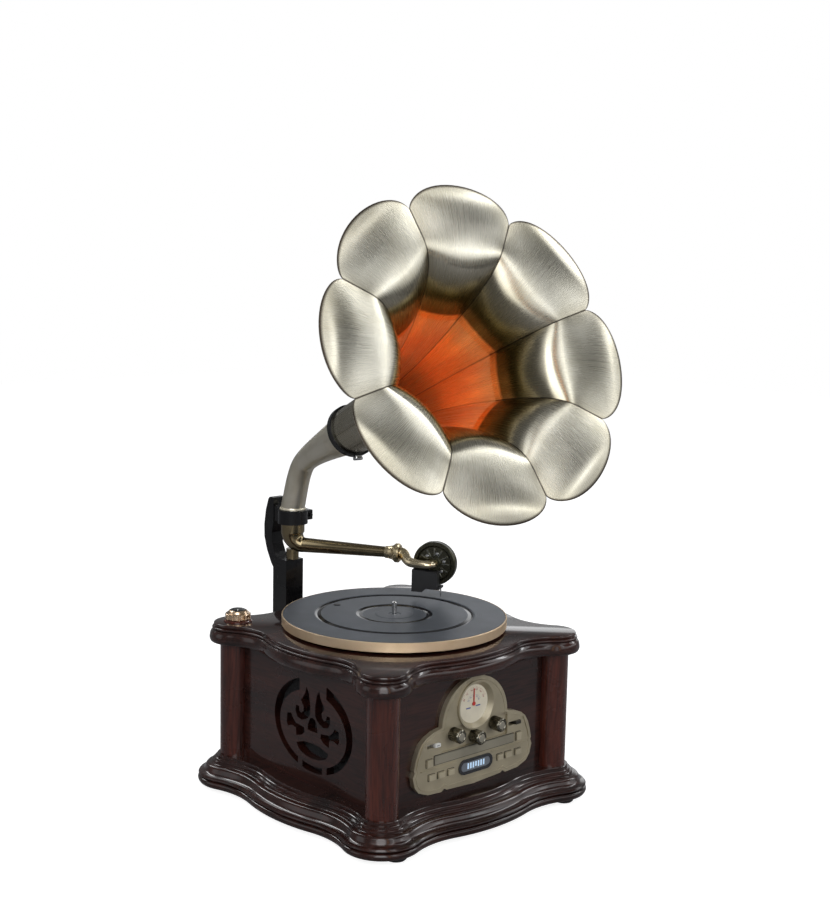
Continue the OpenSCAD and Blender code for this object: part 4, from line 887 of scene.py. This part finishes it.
def between(table, k):
    """Smooth curve through the rows of a table"""
    i = min(int(k), len(table) - 2)
    a, b = Vector(table[i]), Vector(table[i + 1])
    before = Vector(table[i - 1]) if i else 2 * a - b
    after = Vector(table[i + 2]) if i + 2 < len(table) else 2 * b - a
    return through(before, a, b, after, k - i)


def sheet_point(k, v, a):
    """Point of a panel: row k along it, v from -1 to 1 across it, a the way its middle faces.
    seam gives the share of the length and of the growth in radius where two panels meet, and
    crown how far the panel's middle stands forward of that line, and outside it"""
    m, c = between(seam, k), between(crown, k)
    r, bulge = NECK_R + (MOUTH_R - NECK_R) * m.y, 1 - v * v
    out, side = r * math.cos(HALF_PETAL) + c.y * bulge, v * r * math.sin(HALF_PETAL)
    return Vector((out * math.cos(a) + side * math.sin(a), out * math.sin(a) - side * math.cos(a),
                   HORN_L * m.x + c.x * bulge))


def sheet_back(k, v, a):
    """Way from the front of the sheet to its back, kept in the seam's plane at a seam"""
    e = 0.02
    n = (sheet_point(k, v + e, a) - sheet_point(k, v - e, a)).cross(
        sheet_point(min(k + e, TIP_ROW), v, a) - sheet_point(max(k - e, 0), v, a))
    if abs(v) > 0.999:
        q = a - v * HALF_PETAL
        tangent = Vector((-math.sin(q), math.cos(q), 0))
        n -= n.dot(tangent) * tangent
    if k < 0.001:
        n.z = 0
    n.normalize()
    outward = Vector((math.cos(a), math.sin(a), 0))
    return -n if (k < FLARE_ROW and n.dot(outward) < 0) or n.z > 0.2 else n


def rim_row(v):
    return NOTCH_ROW + (TIP_ROW - NOTCH_ROW) * max(0, 1 - v * v) ** 0.7


brushed_sheet, given, result = group(
    "brushed_sheet", [("Chance", "Float", 0.0)],
    [("Lines", "Float"), ("Patina", "Float"), ("To seam", "Float"), ("Along", "Float"),
     ("Normal", "Vector")])
t = brushed_sheet
spot = add(t, "TexCoord").outputs["UV"]
across, along = add(t, "SeparateXYZ", {0: spot}).outputs[:2]
drawn = calc(t, "MULTIPLY", spot, (420, 2.6, 1), kind="VectorMath")
lines = add(t, "TexNoise", {"Vector": drawn, "W": given["Chance"], "Scale": 1.0, "Detail": 4.0},
            noise_dimensions="4D").outputs[0]
put_out(t, result, {
    "Lines": lines, "Patina": noise(t, own_place(t), 11.0, 5.0, 0.6), "Along": along,
    "To seam": calc(t, "ABSOLUTE", calc(t, "SUBTRACT", across, 0.5)),
    "Normal": bumped(t, lines, 0.035, 0.0004)})
solder = (0.05, 0.04, 0.03, 1)


def sheet_metal(name):
    """Material with the marks of brushed sheet, still without its surface"""
    material, tree = blank_material(name)
    chance = add(tree, "ObjectInfo").outputs["Random"]
    return material, tree, add(tree, "Group", {"Chance": chance}, node_tree=brushed_sheet).outputs


def polish(tree, marks, tone, edge, smooth, rough, metallic, anisotropic):
    """Surface of brushed sheet, dark where its edge is soldered or beaded"""
    shade(tree, {
        "Base Color": blended(tree, edge, tone, solder), "Metallic": metallic,
        "Roughness": ranged(tree, marks["Lines"], 0.3, 0.7, smooth, rough),
        "Normal": marks["Normal"], "Anisotropic": anisotropic,
        "Tangent": add(tree, "Tangent", direction_type="UV_MAP", uv_map="panel").outputs[0]})


nickel, tree, marks = sheet_metal("brushed_nickel")
to_seam, along = marks["To seam"], marks["Along"]
tone = blended(tree, ranged(tree, marks["Patina"], 0.42, 0.7), (0.71, 0.68, 0.58, 1),
               (0.50, 0.47, 0.37, 1))
# Painted shade: the petal colour darkens from the fold in towards the throat.
darkening = ranged(tree, along, 0.72, 0.48)
tone = blended(tree, darkening, tone, (0.17, 0.132, 0.06, 1))
copper_glow = ranged(tree, along, 0.392, 0.402, 1, 0)
tone = blended(tree, copper_glow, tone, (0.95, 0.52, 0.26, 1))
# Painted shade: the colour darkens towards each petal's seams and towards its beaded rim.
seam_and_rim_painted_shade = calc(tree, "MAXIMUM", ranged(tree, to_seam, 0.36, 0.50, 0, 0.45),
               ranged(tree, along, 0.88, 1.0, 0, 0.4))
tone = blended(tree, seam_and_rim_painted_shade, tone, (0.30, 0.26, 0.17, 1))
edge = calc(tree, "MAXIMUM", ranged(tree, to_seam, 0.487, 0.497),
            ranged(tree, along, 0.985, 0.995))
polish(tree, marks, tone, edge, 0.22, 0.31, 1.0, 0.85)

copper_inside, tree, marks = sheet_metal("copper_throat")
tone = blended(tree, ranged(tree, marks["Patina"], 0.4, 0.7), (1.0, 0.53, 0.24, 1),
               (1.0, 0.45, 0.17, 1))
streaks = ranged(tree, marks["Lines"], 0.52, 0.70, 0, 0.8)
tone = blended(tree, streaks, tone, (1.0, 0.78, 0.50, 1))
edge = ranged(tree, marks["To seam"], 0.475, 0.5)
polish(tree, marks, tone, edge, 0.20, 0.34, 0.76, 0.2)
BACK_FROM, BACK_SPAN = 0.6, 0.3


def horn_sheet(name, rows, wrap, material, node):
    """Sheet with a front, a back and edges from rows of (row, across, direction)"""
    front = [[sheet_point(*p) for p in row] for row in rows]
    back = [[sheet_point(*p) + SHEET * sheet_back(*p) for p in row] for row in rows]
    n, m = len(rows[0]), len(rows)
    faces, skins = [], []
    for r in range(m - 1):
        for c in range(n if wrap else n - 1):
            d = (c + 1) % n
            around = (r * n + c, r * n + d, (r + 1) * n + d, (r + 1) * n + c)
            faces += [(around[0], around[3], around[2], around[1]),
                      tuple(m * n + i for i in around)]
            skins += [0, 1]
    ends = [(r * n + c, r * n + (c + 1) % n)
            for r in (0, m - 1) for c in range(n if wrap else n - 1)]
    if not wrap:
        ends += [(r * n + c, (r + 1) * n + c) for c in (0, n - 1) for r in range(m - 1)]
    faces += [(a, b, m * n + b, m * n + a) for a, b in ends]
    skins += [1] * len(ends)
    points = [bell @ p for row in front + back for p in row]
    made = piece(name, (points, faces), material, "horn",
                 (node,), crease=50)
    mesh = made.data
    mesh.materials.append(nickel)
    spots = [p for row in rows for p in row] * 2
    layer = mesh.uv_layers.new(name="panel")
    for face in mesh.polygons:
        face.material_index = skins[face.index] if wrap else 0
        for corner in face.loop_indices:
            k, v, a = spots[mesh.loops[corner].vertex_index]
            if k >= FIXED_ROW:
                reach = (k - FIXED_ROW) / (rim_row(v) - FIXED_ROW)
                k = FIXED_ROW + (TIP_ROW - FIXED_ROW) * reach
            share = k / TIP_ROW
            if skins[face.index]:
                share = BACK_FROM + BACK_SPAN * share
            layer.data[corner].uv = ((v + 1) / 2, share)


ACROSS, ROWS = 32, 40
spread = [-math.cos(math.pi * j / ACROSS) for j in range(ACROSS + 1)]
for i in range(PETALS):
    a = math.radians(FIRST_PETAL - STEP * i)
    rows = [[(NECK_ROW + (rim_row(v) - NECK_ROW) * s / ROWS, v, a) for v in spread]
            for s in range(ROWS + 1)]
    horn_sheet(f"petal_{i + 1}_sheet", rows, False, nickel, f"petal_{i + 1}")
FLUTE, ROW_PARTS = 16, 4
rows = [[(s / ROW_PARTS, -math.cos(math.pi * j / FLUTE), math.radians(FIRST_PETAL - STEP * i))
         for i in range(PETALS) for j in range(FLUTE)] for s in range(NECK_ROW * ROW_PARTS + 1)]
horn_sheet("throat_sheet", rows, True, copper_inside, "horn_throat")
